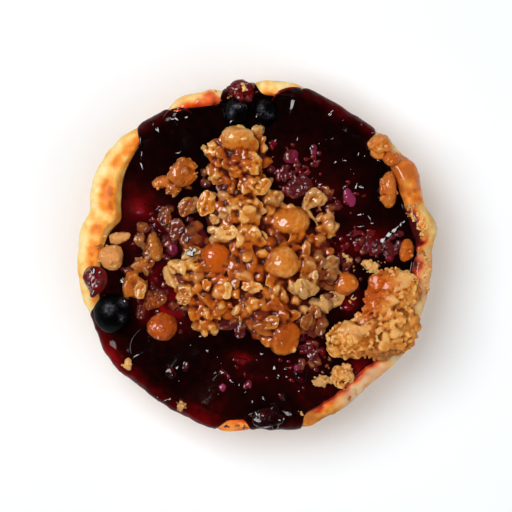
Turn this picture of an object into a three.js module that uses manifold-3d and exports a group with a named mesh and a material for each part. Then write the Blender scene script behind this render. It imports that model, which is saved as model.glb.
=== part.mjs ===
// A berry crumble tart for one, about 100 mm across: a shortcrust case baked in a plain sloping tin,
// a dark berry filling that has boiled over the rim in places, whole berries, and oat crumble on top.
// Millimetres, +Z up, the origin at the middle of the flat base. Angles are in degrees,
// anticlockwise seen from above, with 0 along +X.
import * as THREE from "three";
import { mergeVertices } from "three/addons/utils/BufferGeometryUtils.js";
import Module from "manifold-3d";

const wasm = await Module();
wasm.setup();

// ---------------------------------------------------------------- driving dimensions

const BASE_RADIUS = 35; // middle of the wall where it meets the floor
const RIM_RADIUS = 49.3; // outside of the rim, before its bumps
const RIM_HEIGHT = 25;
const WALL = 4.2; // thickness of the pastry wall
const FLOOR = 4.5; // thickness of the pastry floor
const GAP = 0.3; // kept between pieces that touch
const FILLING_LEVEL = 24.4; // the filling's surface in the middle
const FILM = 1.1; // thickness of the filling where it runs over the rim
const LIP = 0.35; // thickness of the edge that it leaves elsewhere, a little up the wall
const LIP_HEIGHT = 0.8;
const RUN_INSET = 1.5; // how much further in the rim is where the filling runs over it
const SEGMENTS = 56; // round the tart

// The rim's unevenness: an angle, a half width in degrees, and a size in millimetres.
const RADIUS_BUMPS = [
  [10, 6, 2.1],
  [29, 7, 2.7],
  [39, 4, 0.4],
  [75, 8, 1.1],
  [103, 7, -0.8],
  [116, 4, 0.8],
  [148, 14, 2.3],
  [165, 4, -1.4],
  [186, 13, 1.6],
  [218, 17, 1.8],
  [256, 15, 1.2],
  [284, 9, 1.3],
  [314, 8, -0.5],
  [331, 8, 1.0],
  [352, 7, 0.9],
];
const HEIGHT_BUMPS = [
  [162, 22, 1.9],
  [27, 7, 2.2],
  [11, 6, 1.9],
  [352, 9, 1.2],
  [308, 14, 0.8],
  [105, 9, 0.6],
  [82, 6, 1.0],
  [60, 15, -2.6],
  [126, 7, -1.8],
  [95, 5, -1.6],
  [207, 9, -2.8],
  [233, 22, -2.6],
  [276, 7, -2.2],
  [2, 4, -1.0],
];
const WALL_BUMPS = [
  [160, 20, 4.4],
  [190, 12, 1.2],
  [27, 8, 1.8],
  [11, 7, 1.6],
  [352, 10, 0.6],
];
const CROWN_FLATNESS = 0.62; // height of the rounded top, of half the wall

// Where the filling has run over the rim: from, to, and how far it hangs down outside.
const RUNS = [
  [50, 71, 3.5],
  [89, 97, 4.0],
  [124, 130, 1.5],
  [202, 214, 4.0],
  [212, 254, 2.2],
  [272, 281, 5.5],
];
const RUN_EDGE = 7; // degrees over which a run starts and ends

// The filling's own dips and swells: x, y, reach and height.
const FILLING_SWELLS = [
  [-37, 9, 12, -1.0],
  [-22, 32, 12, 0.5],
  [20, 34, 14, 0.6],
  [-10, -34, 16, 0.4],
  [30, 22, 8, 0.6],
  [36, 4, 9, -0.5],
];

// The heap of crumble: first the mounds that it is made of, as x, y, half widths and height.
const MOUNDS = [
  [0, -2, 15, 14, 5.0],
  [-12, -8, 12, 12, 3.6],
  [12, -1, 11, 12, 4.2],
  [4, -16, 10, 9, 4.0],
  [-6, 11, 10, 9, 3.6],
  [-5, 28, 9, 8.5, 4.2],
  [-1, 19, 6, 6, 3.0],
  [-17.5, 4, 5, 7, 1.4],
  [14, -17, 6, 6.5, 1.8],
];
const MOUND_ROOT = 1.5; // how far a mound reaches below the filling's level

// Then the balls, clumps and oats that show on it: x, y, half widths, and turn in degrees.
const HEAP_PIECES = [
  [9.7, 9.3, 5.4, 5.5, 0],
  [7.2, -1.8, 5.2, 4.8, 0],
  [-11.2, -0.7, 4.5, 4.4, 0],
  [-20.2, -3.0, 5.3, 3.1, -10],
  [-20.2, -10.2, 3.0, 2.8, 0],
  [-9.5, -8.9, 2.0, 3.1, 5],
  [-11.0, -15.3, 4.2, 2.6, 20],
  [-14.5, -19.8, 5.0, 2.4, -15],
  [-2.7, -15.0, 4.8, 3.8, 20],
  [1.6, -19.8, 4.6, 2.8, -30],
  [8.0, -22.8, 4.4, 5.4, -15],
  [4.4, -10.5, 3.4, 2.8, 0],
  [13.7, -8.1, 4.6, 4.2, 15],
  [20.8, -5.2, 4.0, 4.8, 0],
  [25.6, -7.8, 3.4, 3.7, 0],
  [18.8, -14.0, 3.8, 2.7, -10],
  [-2.4, 5.6, 4.5, 3.3, 30],
  [-8.5, 5.8, 6.2, 3.0, -8],
  [-1.8, 12.4, 4.4, 4.2, 0],
  [4.0, 15.4, 3.8, 4.4, -20],
  [-6.4, 14.0, 3.4, 2.2, 20],
  [-0.9, 19.9, 3.6, 3.0, 0],
  [16.8, 16.0, 3.5, 3.2, 0],
  [20.2, 9.2, 3.2, 4.1, 10],
  [14.6, 12.6, 4.4, 0.9, -56],
  [-17.9, 14.3, 3.3, 3.0, 0],
  [-13.2, 14.8, 2.8, 3.6, -12],
  [-26.0, 11.4, 2.3, 2.3, 0],
  [-22.7, 6.6, 2.0, 3.4, 10],
  [-5.0, 33.0, 4.8, 3.8, 0],
  [-12.0, 29.6, 3.4, 3.2, 0],
  [0.2, 35.6, 2.4, 1.8, 40],
  [-11.2, 23.6, 3.0, 3.9, 0],
  [-5.8, 23.8, 2.4, 2.4, 0],
  [-1.2, 25.6, 3.2, 3.4, 0],
  [-2.6, 21.6, 2.4, 2.0, 0],
];
const CRUMBS = 32; // small crumbs tried between them, from a spiral over the heap
const CRUMB_RADIUS = [1.0, 1.9];
const CRUMB_FIELD = { x: -3, y: 1, reach: 30 };
const PIECE_RISE = 0.15; // how far a piece's middle is above the mound, as a share of its half height
const FINE_PIECE = 15; // pieces with a larger product of half widths have finer facets

const TOPPING_RISE = 0.4; // the same share for what lies on the filling or the rim
// Separate toppings, each a list of lumps: x, y, half widths, half height, and turn in degrees.
const CRUMBLE_TOPPINGS = {
  crumble_chunk_north_west: [
    [-20.8, 23.6, 4.5, 4.3, 3.8, 0],
    [-26.2, 20.8, 3.6, 1.9, 1.7, 15],
    [-23.2, 18.6, 2.5, 2.3, 2.0, 0],
  ],
  crumble_ball_south_west: [[-26.6, -20.0, 4.2, 4.4, 3.9, 0]],
  crumble_ball_west: [[-41.1, -0.4, 3.6, 3.8, 3.2, 0]],
  oat_flake_west: [[-38.6, 5.2, 3.6, 1.7, 1.2, 12]],
  oat_clump_west: [[-28.8, 2.4, 2.5, 4.2, 2.2, 12]],
  oat_bit_west: [
    [-32.9, 4.6, 1.8, 2.0, 1.5, 0],
    [-31.8, 8.0, 2.0, 1.8, 1.5, 0],
  ],
  crumble_lump_west: [
    [-34.2, -8.2, 3.7, 4.4, 2.9, 0],
    [-32.4, -2.6, 2.5, 2.3, 1.8, 0],
    [-29.4, -12.4, 2.7, 2.9, 2.1, 0],
  ],
  crumble_lump_north_east: [
    [34.9, 31.0, 3.7, 3.6, 3.2, 0],
    [38.1, 27.4, 2.4, 2.6, 2.2, 0],
  ],
  crumble_lump_east: [[37.4, 18.9, 2.8, 5.1, 3.0, 0]],
  crumble_bit_east: [[42.6, 1.6, 2.2, 3.3, 2.2, -10]],
  crumb_east: [[32.2, -3.0, 2.6, 1.9, 1.5, -20]],
  crumble_piece_south_east: [
    [24.6, -34.0, 3.1, 3.9, 2.7, 0],
    [18.9, -35.2, 3.2, 1.8, 1.6, 5],
  ],
  crumb_south_west: [[-36.3, -30.5, 1.5, 1.9, 1.3, 0]],
  crumb_south: [[-21.2, -42.4, 1.5, 1.7, 1.3, 0]],
};

// The big dry slab of crumble over the rim: x, y, half widths and half height of its lobes.
const SLAB_LOBES = [
  [38.6, -9.8, 8.0, 6.9, 4.6],
  [26.5, -23.6, 6.8, 5.6, 4.4],
  [39.0, -19.4, 6.8, 8.8, 4.6],
  [34.2, -21.6, 8.2, 8.2, 5.0],
  [35.6, -14.6, 5.6, 6.4, 5.0],
];
const SLAB_HEIGHT = 2; // of the lobes' middles above the filling's level
const SLAB_CRAGS = 5; // small crags tried on its outer side
const CRAG_FIELD = { x: 38, y: -18.5, reachX: 8.4, reachY: 13.5 };
const CRAG_RADIUS = [0.9, 1.6];

// Whole berries, sunk in the filling, which is cut round them.
const BERRIES = {
  blueberry_west: { x: -40.4, y: -16.2, z: 26.6, rx: 5.2, ry: 5.8, rz: 5.0, seed: 3, uneven: 0.04 },
  blueberry_north_west: { x: -5.6, y: 40.8, z: 25.6, rx: 3.9, ry: 3.9, rz: 3.9, seed: 5, uneven: 0.05 },
  blueberry_north_east: { x: 2.4, y: 40.6, z: 25.2, rx: 3.6, ry: 3.8, rz: 3.7, seed: 8, uneven: 0.05 },
};
// Soft berries under the filling's glaze, lying on the rim, with their beads still showing.
const SOFT_BERRIES = {
  soft_berry_north: { x: -3.8, y: 46.5, rx: 3.7, ry: 3.0, rz: 3.0, seed: 2 },
  soft_berry_west: { x: -45.4, y: -6.8, rx: 3.0, ry: 4.7, rz: 2.6, seed: 6 },
  soft_berry_south: { x: 4.1, y: -45.9, rx: 5.0, ry: 3.2, rz: 2.6, seed: 9 },
};
const BEADS = 5;
const BEAD_RADIUS = 1.15;
const BEAD_DEPTH = 0.85; // where the beads' middles are, as a share of the berry's half widths

// ---------------------------------------------------------------- shared shaping

const radians = THREE.MathUtils.degToRad;
const lerp = THREE.MathUtils.lerp;
const smooth = (value, low, high) => THREE.MathUtils.smoothstep(value, low, high);
const GOLDEN_ANGLE = Math.PI * (3 - Math.sqrt(5));

// The signed turn from one angle to another, between -180 and 180.
const turnBetween = (angle, at) => ((((angle - at + 180) % 360) + 360) % 360) - 180;
const bumps = (angle, list) =>
  list.reduce((sum, [at, width, size]) => sum + size * Math.exp(-((turnBetween(angle, at) / width) ** 2)), 0);

// 1 inside the arc from one angle to another, falling to 0 over RUN_EDGE outside it.
function insideArc(angle, from, to) {
  const half = (to - from) / 2;
  return 1 - smooth(Math.abs(turnBetween(angle, from + half)), half, half + RUN_EDGE);
}

// The share of a run that a place has, 0 where the rim is bare, and the hang of the run there.
function runAt(angle) {
  return RUNS.reduce(
    (most, [from, to, hang]) => {
      const share = insideArc(angle, from, to);
      return share > most.share ? { share, hang } : most;
    },
    { share: 0, hang: 0 },
  );
}

// Random numbers between 0 and 1, the same ones for the same seed.
function randomFrom(seed) {
  let state = seed;
  return () => {
    state = (Math.imul(state, 1664525) + 1013904223) >>> 0;
    return state / 2 ** 32;
  };
}

// The wall's middle line at an angle: where it leaves the floor, where its round top is, and half its
// thickness, which grows by the given amount.
function wallAt(angle, grow) {
  const ripple = 0.25 * Math.sin(radians(angle * 9)) + 0.18 * Math.sin(radians(angle * 17 + 40));
  const half = (WALL + bumps(angle, WALL_BUMPS)) / 2;
  const foot = new THREE.Vector2(BASE_RADIUS, half);
  const top = new THREE.Vector2(
    RIM_RADIUS + bumps(angle, RADIUS_BUMPS) + ripple - RUN_INSET * runAt(angle).share - half,
    RIM_HEIGHT + bumps(angle, HEIGHT_BUMPS) - CROWN_FLATNESS * half,
  );
  const along = top.clone().sub(foot).normalize();
  const outward = new THREE.Vector2(along.y, -along.x);
  const rise = CROWN_FLATNESS * half + grow;
  return { foot, top, along, outward, half: half + grow, rise, length: top.distanceTo(foot) };
}

// A point of the wall's inner (-1) or outer (1) face, a distance up from its foot.
const onFace = (wall, side, up) =>
  wall.foot
    .clone()
    .addScaledVector(wall.outward, side * wall.half)
    .addScaledVector(wall.along, up);

// A point of its round top, from the inner face (0) to the outer face (1).
function onCrown(wall, share) {
  const angle = Math.PI * share;
  return wall.top
    .clone()
    .addScaledVector(wall.outward, -Math.cos(angle) * wall.half)
    .addScaledVector(wall.along, Math.sin(angle) * wall.rise);
}

// How far up the inner face a height is.
const upInnerFace = (wall, height) => (height - onFace(wall, -1, 0).y) / wall.along.y;

function fillingLevel(x, y) {
  return FILLING_SWELLS.reduce(
    (level, [sx, sy, reach, size]) => level + size * Math.exp(-((x - sx) ** 2 + (y - sy) ** 2) / reach ** 2),
    FILLING_LEVEL,
  );
}

// ---------------------------------------------------------------- making solids

function solidOf(geometry) {
  geometry.deleteAttribute("normal");
  geometry.deleteAttribute("uv");
  const merged = mergeVertices(geometry, 1e-4);
  return new wasm.Manifold(
    new wasm.Mesh({
      numProp: 3,
      vertProperties: merged.attributes.position.array,
      triVerts: new Uint32Array(merged.index.array),
    }),
  );
}

function geometryOf(solid) {
  const { numProp, numVert, triVerts, vertProperties } = solid.getMesh();
  const corners = new Float32Array(numVert * 3);
  for (let i = 0; i < numVert; i++) {
    corners.set(vertProperties.subarray(i * numProp, i * numProp + 3), i * 3);
  }
  const geometry = new THREE.BufferGeometry();
  geometry.setAttribute("position", new THREE.BufferAttribute(corners, 3));
  geometry.setIndex(new THREE.BufferAttribute(triVerts, 1));
  geometry.computeVertexNormals();
  return geometry;
}

// A body turned about Z whose section changes with the angle. A section runs from the axis below,
// round the outside, to the axis on top, with the same number of points at every angle.
function turned(sectionAt) {
  const sections = [];
  for (let i = 0; i < SEGMENTS; i++) sections.push(sectionAt((360 * i) / SEGMENTS));
  const rings = sections[0].length - 2;
  const corners = [0, 0, sections[0][0].y, 0, 0, sections[0][rings + 1].y];
  for (let ring = 1; ring <= rings; ring++) {
    sections.forEach((section, i) => {
      const angle = (2 * Math.PI * i) / SEGMENTS;
      const { x: radius, y: height } = section[ring];
      corners.push(radius * Math.cos(angle), radius * Math.sin(angle), height);
    });
  }
  const corner = (ring, i) => 2 + (ring - 1) * SEGMENTS + (i % SEGMENTS);
  const faces = [];
  for (let i = 0; i < SEGMENTS; i++) {
    faces.push(0, corner(1, i + 1), corner(1, i));
    for (let ring = 1; ring < rings; ring++) {
      faces.push(corner(ring, i), corner(ring, i + 1), corner(ring + 1, i + 1));
      faces.push(corner(ring, i), corner(ring + 1, i + 1), corner(ring + 1, i));
    }
    faces.push(1, corner(rings, i), corner(rings, i + 1));
  }
  const geometry = new THREE.BufferGeometry();
  geometry.setAttribute("position", new THREE.Float32BufferAttribute(corners, 3));
  geometry.setIndex(faces);
  return solidOf(geometry);
}

// An uneven lump: an ellipsoid whose surface swells and dips, the same way for the same seed.
function lump({ x, y, z, rx, ry, rz, turn = 0, detail = 1, seed = 1, uneven = 0.08 }, grow = 0) {
  const geometry = new THREE.IcosahedronGeometry(1, detail);
  const position = geometry.attributes.position;
  const point = new THREE.Vector3();
  for (let i = 0; i < position.count; i++) {
    point.fromBufferAttribute(position, i);
    const wave =
      Math.sin(3.1 * point.x + 1.7 * seed) +
      Math.sin(3.7 * point.y + 2.3 * seed + 1.9 * point.z) +
      Math.sin(4.3 * point.z + 0.9 * seed + 2.2 * point.x);
    point.multiplyScalar(1 + (uneven * wave) / 2);
    position.setXYZ(i, point.x * (rx + grow), point.y * (ry + grow), point.z * (rz + grow));
  }
  geometry.rotateZ(radians(turn));
  geometry.translate(x, y, z);
  return solidOf(geometry);
}

const unite = (solids) => solids.reduce((whole, next) => whole.add(next));
const cut = (solid, rooms) => rooms.reduce((rest, room) => rest.subtract(room), solid);
// The largest body of a solid, without the scraps that a cut leaves.
const largest = (solid) => solid.decompose().reduce((best, next) => (next.volume() > best.volume() ? next : best));

// The height of what lies highest at a place, among some solids.
function heightOver(solids) {
  const meshes = solids.map((solid) => new THREE.Mesh(geometryOf(solid)));
  const ray = new THREE.Raycaster();
  const down = new THREE.Vector3(0, 0, -1);
  return (x, y) => {
    ray.set(new THREE.Vector3(x, y, 2 * RIM_RADIUS), down);
    const [first] = ray.intersectObjects(meshes);
    return first ? first.point.z : -Infinity;
  };
}

// ---------------------------------------------------------------- pastry case

const CROWN_STEPS = [1, 0.8, 0.6, 0.4, 0.2, 0];

function caseSection(angle, grow) {
  const wall = wallAt(angle, grow);
  const section = [new THREE.Vector2(0, -grow), new THREE.Vector2(BASE_RADIUS, -grow)];
  for (const bend of [0.35, 0.7]) {
    const turn = (bend * Math.PI) / 2;
    const outwards = new THREE.Vector2(Math.sin(turn), -Math.cos(turn));
    section.push(wall.foot.clone().addScaledVector(outwards, wall.half));
  }
  for (const share of [0.05, 0.5]) section.push(onFace(wall, 1, wall.length * share));
  for (const share of CROWN_STEPS) section.push(onCrown(wall, share));
  const floorUp = upInnerFace(wall, FLOOR + grow);
  section.push(onFace(wall, -1, lerp(floorUp, wall.length, 0.5)), onFace(wall, -1, floorUp));
  section.push(new THREE.Vector2(0, FLOOR + grow));
  return section;
}

// ---------------------------------------------------------------- berry filling

const TOP_RINGS = [0.93, 0.82, 0.64, 0.36];
const RUN_STEPS = 5;

// The way over the wall's surface: up the inner face from a height, over the top, down the outside.
function overWall(wall, start, way) {
  const inside = Math.max(wall.length - start, 0);
  const crown = Math.PI * wall.half;
  if (way < inside) {
    return { point: onFace(wall, -1, start + way), normal: wall.outward.clone().negate() };
  }
  if (way < inside + crown) {
    const share = (way - inside) / crown;
    const normal = wall.outward
      .clone()
      .multiplyScalar(-Math.cos(Math.PI * share) * wall.rise)
      .addScaledVector(wall.along, Math.sin(Math.PI * share) * wall.half)
      .normalize();
    return { point: onCrown(wall, share), normal };
  }
  return { point: onFace(wall, 1, wall.length + inside + crown - way), normal: wall.outward.clone() };
}

// The filling before the case's room is cut from it: its underside lies in the middle of the pastry.
function fillingSection(angle, lift) {
  const wall = wallAt(angle, GAP);
  const radial = new THREE.Vector2(Math.cos(radians(angle)), Math.sin(radians(angle)));
  const levelAt = (radius) => fillingLevel(radius * radial.x, radius * radial.y);
  const start = Math.min(upInnerFace(wall, levelAt(RIM_RADIUS - WALL)) - LIP, wall.length);
  const run = runAt(angle);
  const overTop = wall.length - start + Math.PI * wall.half + run.hang;
  const climb = lerp(LIP_HEIGHT, overTop, run.share);
  const tip = overWall(wall, start, climb);
  const section = [new THREE.Vector2(0, FLOOR / 2), wall.foot.clone()];
  section.push(wall.foot.clone().addScaledVector(wall.along, start));
  section.push(tip.point.clone().addScaledVector(tip.normal, -wall.half));
  for (let i = RUN_STEPS; i >= 1; i--) {
    const share = i / RUN_STEPS;
    const { point, normal } = overWall(wall, start, climb * share);
    const thickness = lerp(LIP, FILM * Math.sqrt(1 - 0.85 * share ** 3), run.share);
    section.push(point.addScaledVector(normal, thickness));
  }
  const shore = section[section.length - 1];
  for (const share of TOP_RINGS) {
    const radius = shore.x * share;
    section.push(new THREE.Vector2(radius, lerp(levelAt(radius), shore.y, smooth(share, 0.76, 1))));
  }
  section.push(new THREE.Vector2(0, levelAt(0)));
  for (const point of section) point.y += lift;
  return section;
}

// ---------------------------------------------------------------- the tart's pieces

const caseSolid = turned((angle) => caseSection(angle, 0));
const caseRoom = turned((angle) => caseSection(angle, GAP));
const fillingWhole = largest(turned((angle) => fillingSection(angle, 0)).subtract(caseRoom));
const fillingRaised = turned((angle) => fillingSection(angle, GAP));
const groundAt = heightOver([caseSolid, fillingWhole]);

// Whole berries, cut only where they meet the case or the berry before them.
function makeBerries() {
  const made = {};
  const rooms = [caseRoom];
  for (const [name, berry] of Object.entries(BERRIES)) {
    made[name] = cut(lump({ ...berry, detail: 2 }), rooms);
    rooms.push(lump({ ...berry, detail: 2 }, GAP));
  }
  return { made, rooms: rooms.slice(1) };
}

// A soft berry: a lump with beads over its upper side.
function softBerry({ x, y, rx, ry, rz, seed }, grow = 0) {
  const z = groundAt(x, y) + TOPPING_RISE * rz;
  const solids = [lump({ x, y, z, rx, ry, rz, seed, uneven: 0.1 }, grow)];
  for (let i = 0; i < BEADS; i++) {
    const lift = 1 - (i + 0.5) / BEADS;
    const reach = Math.sqrt(1 - lift ** 2) * BEAD_DEPTH;
    const turn = GOLDEN_ANGLE * i + seed;
    solids.push(
      lump(
        {
          x: x + rx * reach * Math.cos(turn),
          y: y + ry * reach * Math.sin(turn),
          z: z + rz * lift * BEAD_DEPTH,
          rx: BEAD_RADIUS,
          ry: BEAD_RADIUS,
          rz: BEAD_RADIUS,
          detail: 0,
          seed: i,
        },
        grow,
      ),
    );
  }
  return unite(solids);
}

// Lumps of crumble at their places, each resting on what is under it.
const crumbleLumps = (lobes, grow = 0) =>
  unite(
    lobes.map(([x, y, rx, ry, rz, turn], i) => {
      const z = groundAt(x, y) + TOPPING_RISE * rz;
      return lump({ x, y, z, rx, ry, rz, turn, seed: x + i, uneven: 0.1 }, grow);
    }),
  );

function slabLobes(grow = 0) {
  return unite(
    SLAB_LOBES.map(([x, y, rx, ry, rz], i) =>
      lump({ x, y, z: FILLING_LEVEL + SLAB_HEIGHT, rx, ry, rz, detail: 2, seed: i + 4, uneven: 0.07 }, grow),
    ),
  );
}

// The slab is rough on the side away from the filling: small crags sit on its surface there.
function crumbleSlab() {
  const smoothSlab = slabLobes();
  const heightAt = heightOver([smoothSlab]);
  const random = randomFrom(11);
  const crags = [];
  for (let i = 0; i < SLAB_CRAGS; i++) {
    const share = Math.sqrt((i + 0.5) / SLAB_CRAGS);
    const x = CRAG_FIELD.x + CRAG_FIELD.reachX * share * Math.cos(GOLDEN_ANGLE * i);
    const y = CRAG_FIELD.y + CRAG_FIELD.reachY * share * Math.sin(GOLDEN_ANGLE * i);
    const z = heightAt(x, y);
    const radius = lerp(...CRAG_RADIUS, random());
    if (z < FILLING_LEVEL + 1 || Math.hypot(x, y) > RIM_RADIUS - radius) continue;
    crags.push(lump({ x, y, z: z - 0.2 * radius, rx: radius, ry: radius, rz: radius, detail: 0, seed: i }));
  }
  return unite([smoothSlab, ...crags]);
}

// The heap: mounds, then the pieces that show on them, then crumbs in the spaces that are left.
function crumbleHeap() {
  const mounds = unite(
    MOUNDS.map(([x, y, rx, ry, height], i) =>
      lump({
        x,
        y,
        z: FILLING_LEVEL - MOUND_ROOT,
        rx,
        ry,
        rz: height + MOUND_ROOT,
        seed: i + 1,
        uneven: 0.04,
      }),
    ),
  );
  const heightAt = heightOver([mounds, fillingWhole]);
  const solids = [mounds];
  HEAP_PIECES.forEach(([x, y, rx, ry, turn], i) => {
    const rz = 0.8 * Math.max(Math.min(rx, ry), 1.6);
    const detail = rx * ry > FINE_PIECE ? 1 : 0;
    const z = heightAt(x, y) + PIECE_RISE * rz;
    solids.push(lump({ x, y, z, rx, ry, rz, turn, detail, seed: i + 3, uneven: 0.1 }));
  });
  const random = randomFrom(5);
  for (let i = 0; i < CRUMBS; i++) {
    const reach = CRUMB_FIELD.reach * Math.sqrt((i + 0.5) / CRUMBS);
    const x = CRUMB_FIELD.x + reach * Math.cos(GOLDEN_ANGLE * i);
    const y = CRUMB_FIELD.y + reach * Math.sin(GOLDEN_ANGLE * i);
    const z = heightAt(x, y);
    const rz = lerp(...CRUMB_RADIUS, random());
    const covered = HEAP_PIECES.some(([px, py, rx, ry]) => Math.hypot(x - px, y - py) < Math.min(rx, ry) + GAP);
    if (covered || z < FILLING_LEVEL + 1) continue;
    solids.push(lump({ x, y, z, rx: 1.3 * rz, ry: 0.9 * rz, rz, turn: 360 * random(), detail: 0, seed: i }));
  }
  return unite(solids);
}

// ---------------------------------------------------------------- the tart

const finishes = {
  pastry: new THREE.MeshStandardMaterial({ color: 0xe2a257, roughness: 0.7 }),
  filling: new THREE.MeshStandardMaterial({ color: 0x3a0610, roughness: 0.15 }),
  blueberry: new THREE.MeshStandardMaterial({ color: 0x17151f, roughness: 0.35 }),
  softBerry: new THREE.MeshStandardMaterial({ color: 0x6d0f1f, roughness: 0.2 }),
  crumble: new THREE.MeshStandardMaterial({ color: 0xc97c2e, roughness: 0.4 }),
};

const tart = new THREE.Group();
function place(name, solid, finish) {
  const mesh = new THREE.Mesh(geometryOf(largest(solid)), finish);
  mesh.name = name;
  tart.add(mesh);
}

const berries = makeBerries();
const filling = cut(fillingWhole, berries.rooms);

// Each topping is cut by the rooms of the case, the filling and the berries, and of the toppings before it.
const rooms = [caseRoom, fillingRaised, fillingWhole, ...berries.rooms];
function placeTopping(name, solid, room, finish) {
  place(name, cut(solid, rooms), finish);
  rooms.push(room);
}

place("pastry_case", caseSolid, finishes.pastry);
place("berry_filling", filling, finishes.filling);
for (const [name, berry] of Object.entries(berries.made)) place(name, berry, finishes.blueberry);
for (const [name, berry] of Object.entries(SOFT_BERRIES)) {
  placeTopping(name, softBerry(berry), softBerry(berry, GAP), finishes.softBerry);
}
for (const [name, lobes] of Object.entries(CRUMBLE_TOPPINGS)) {
  placeTopping(name, crumbleLumps(lobes), crumbleLumps(lobes, GAP), finishes.crumble);
}
placeTopping("crumble_slab", crumbleSlab(), slabLobes(GAP + CRAG_RADIUS[1]), finishes.crumble);
place("crumble_heap", cut(crumbleHeap(), rooms), finishes.crumble);

export default tart;
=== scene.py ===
import functools
import itertools
import math

import bmesh
import bpy
import numpy as np
from mathutils import Matrix, Vector, kdtree
from mathutils.bvhtree import BVHTree


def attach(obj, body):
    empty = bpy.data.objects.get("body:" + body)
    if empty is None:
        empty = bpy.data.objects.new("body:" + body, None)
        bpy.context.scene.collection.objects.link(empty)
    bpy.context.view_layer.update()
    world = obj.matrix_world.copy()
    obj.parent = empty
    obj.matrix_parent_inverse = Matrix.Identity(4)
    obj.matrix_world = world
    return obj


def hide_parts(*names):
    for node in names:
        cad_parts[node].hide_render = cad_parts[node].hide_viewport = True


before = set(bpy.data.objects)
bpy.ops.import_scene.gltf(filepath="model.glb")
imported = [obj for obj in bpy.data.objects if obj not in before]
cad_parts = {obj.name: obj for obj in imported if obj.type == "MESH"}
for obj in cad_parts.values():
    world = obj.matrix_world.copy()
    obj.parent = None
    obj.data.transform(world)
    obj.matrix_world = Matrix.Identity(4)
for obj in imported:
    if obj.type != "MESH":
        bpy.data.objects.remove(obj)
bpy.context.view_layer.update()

# A berry crumble tart for one, seen from straight above: a shortcrust case, a dark berry filling that has
# boiled over the rim, whole and soft berries, and oat crumble. Shapes are worked out in millimetres and
# turned to metres when a piece is made. Angles are in degrees, anticlockwise from +X seen from above.
MM = 0.001
# How fine the fused skins are, in millimetres: no piece has 200,000 triangles and all have under a million.
VOXELS = {
    "topping": 0.2, "slab": 0.22, "heap": 0.335, "berry": 0.2, "oats": 0.25, "fruit": 0.24, "stray": 0.16,
}
random = np.random.default_rng(17)

# ---- sizes shared with the solids

BASE_RADIUS = 35
RIM_RADIUS = 49.3
RIM_HEIGHT = 25
WALL = 4.2
FLOOR = 4.5
GAP = 0.3
FILLING_LEVEL = 24.4
FILM = 1.1
LIP = 0.35
LIP_HEIGHT = 0.8
RUN_INSET = 1.5
RUN_EDGE = 7

# The rim's unevenness: an angle, a half width in degrees, and a size.
RADIUS_BUMPS = (
    (10, 6, 2.1), (29, 7, 2.7), (39, 4, 0.4), (75, 8, 1.1), (103, 7, -0.8), (116, 4, 0.8), (148, 14, 2.3),
    (165, 4, -1.4), (186, 13, 1.6), (218, 17, 1.8), (256, 15, 1.2), (284, 9, 1.3), (314, 8, -0.5),
    (331, 8, 1.0), (352, 7, 0.9),
)
HEIGHT_BUMPS = (
    (162, 22, 1.9), (27, 7, 2.2), (11, 6, 1.9), (352, 9, 1.2), (308, 14, 0.8), (105, 9, 0.6), (82, 6, 1.0),
    (60, 15, -2.6), (126, 7, -1.8), (95, 5, -1.6), (207, 9, -2.8), (233, 22, -2.6), (276, 7, -2.2),
    (2, 4, -1.0),
)
WALL_BUMPS = ((160, 20, 4.4), (190, 12, 1.2), (27, 8, 1.8), (11, 7, 1.6), (352, 10, 0.6))
CROWN_FLATNESS = 0.62
CROWN_SQUARENESS = 0.55  # 1 is an even round; less is flatter on top, with quicker shoulders

# Where the filling has run over the rim: from, to, and how far it hangs down outside. In the solids the
# second is from 89 to 97; here a thin pool over the crust takes up its start.
RUNS = ((50, 71, 3.5), (94, 98, 4.0), (124, 130, 1.5), (202, 214, 4.0), (212, 254, 2.2), (272, 281, 5.5))

# The filling's own dips and swells: x, y, reach across and along, and height.
FILLING_SWELLS = (
    (-37, 9, 12, 12, -1.0), (-22, 32, 12, 12, 0.5), (20, 34, 14, 14, 0.6), (-10, -34, 16, 16, 0.4),
    (30, 22, 8, 8, 0.6), (36, 4, 9, 9, -0.5),
)

# The heap of crumble: the mounds under it, as x, y, half widths and height.
MOUNDS = (
    (0, -2, 15, 14, 5.0), (-12, -8, 12, 12, 3.6), (12, -1, 11, 12, 4.2), (4, -16, 10, 9, 4.0),
    (-6, 11, 10, 9, 3.6), (-5, 28, 9, 8.5, 4.2), (-1, 19, 6, 6, 3.0), (-17.5, 4, 5, 7, 1.4),
    (14, -17, 6, 6.5, 1.8),
)
MOUND_ROOT = 1.5

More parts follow.
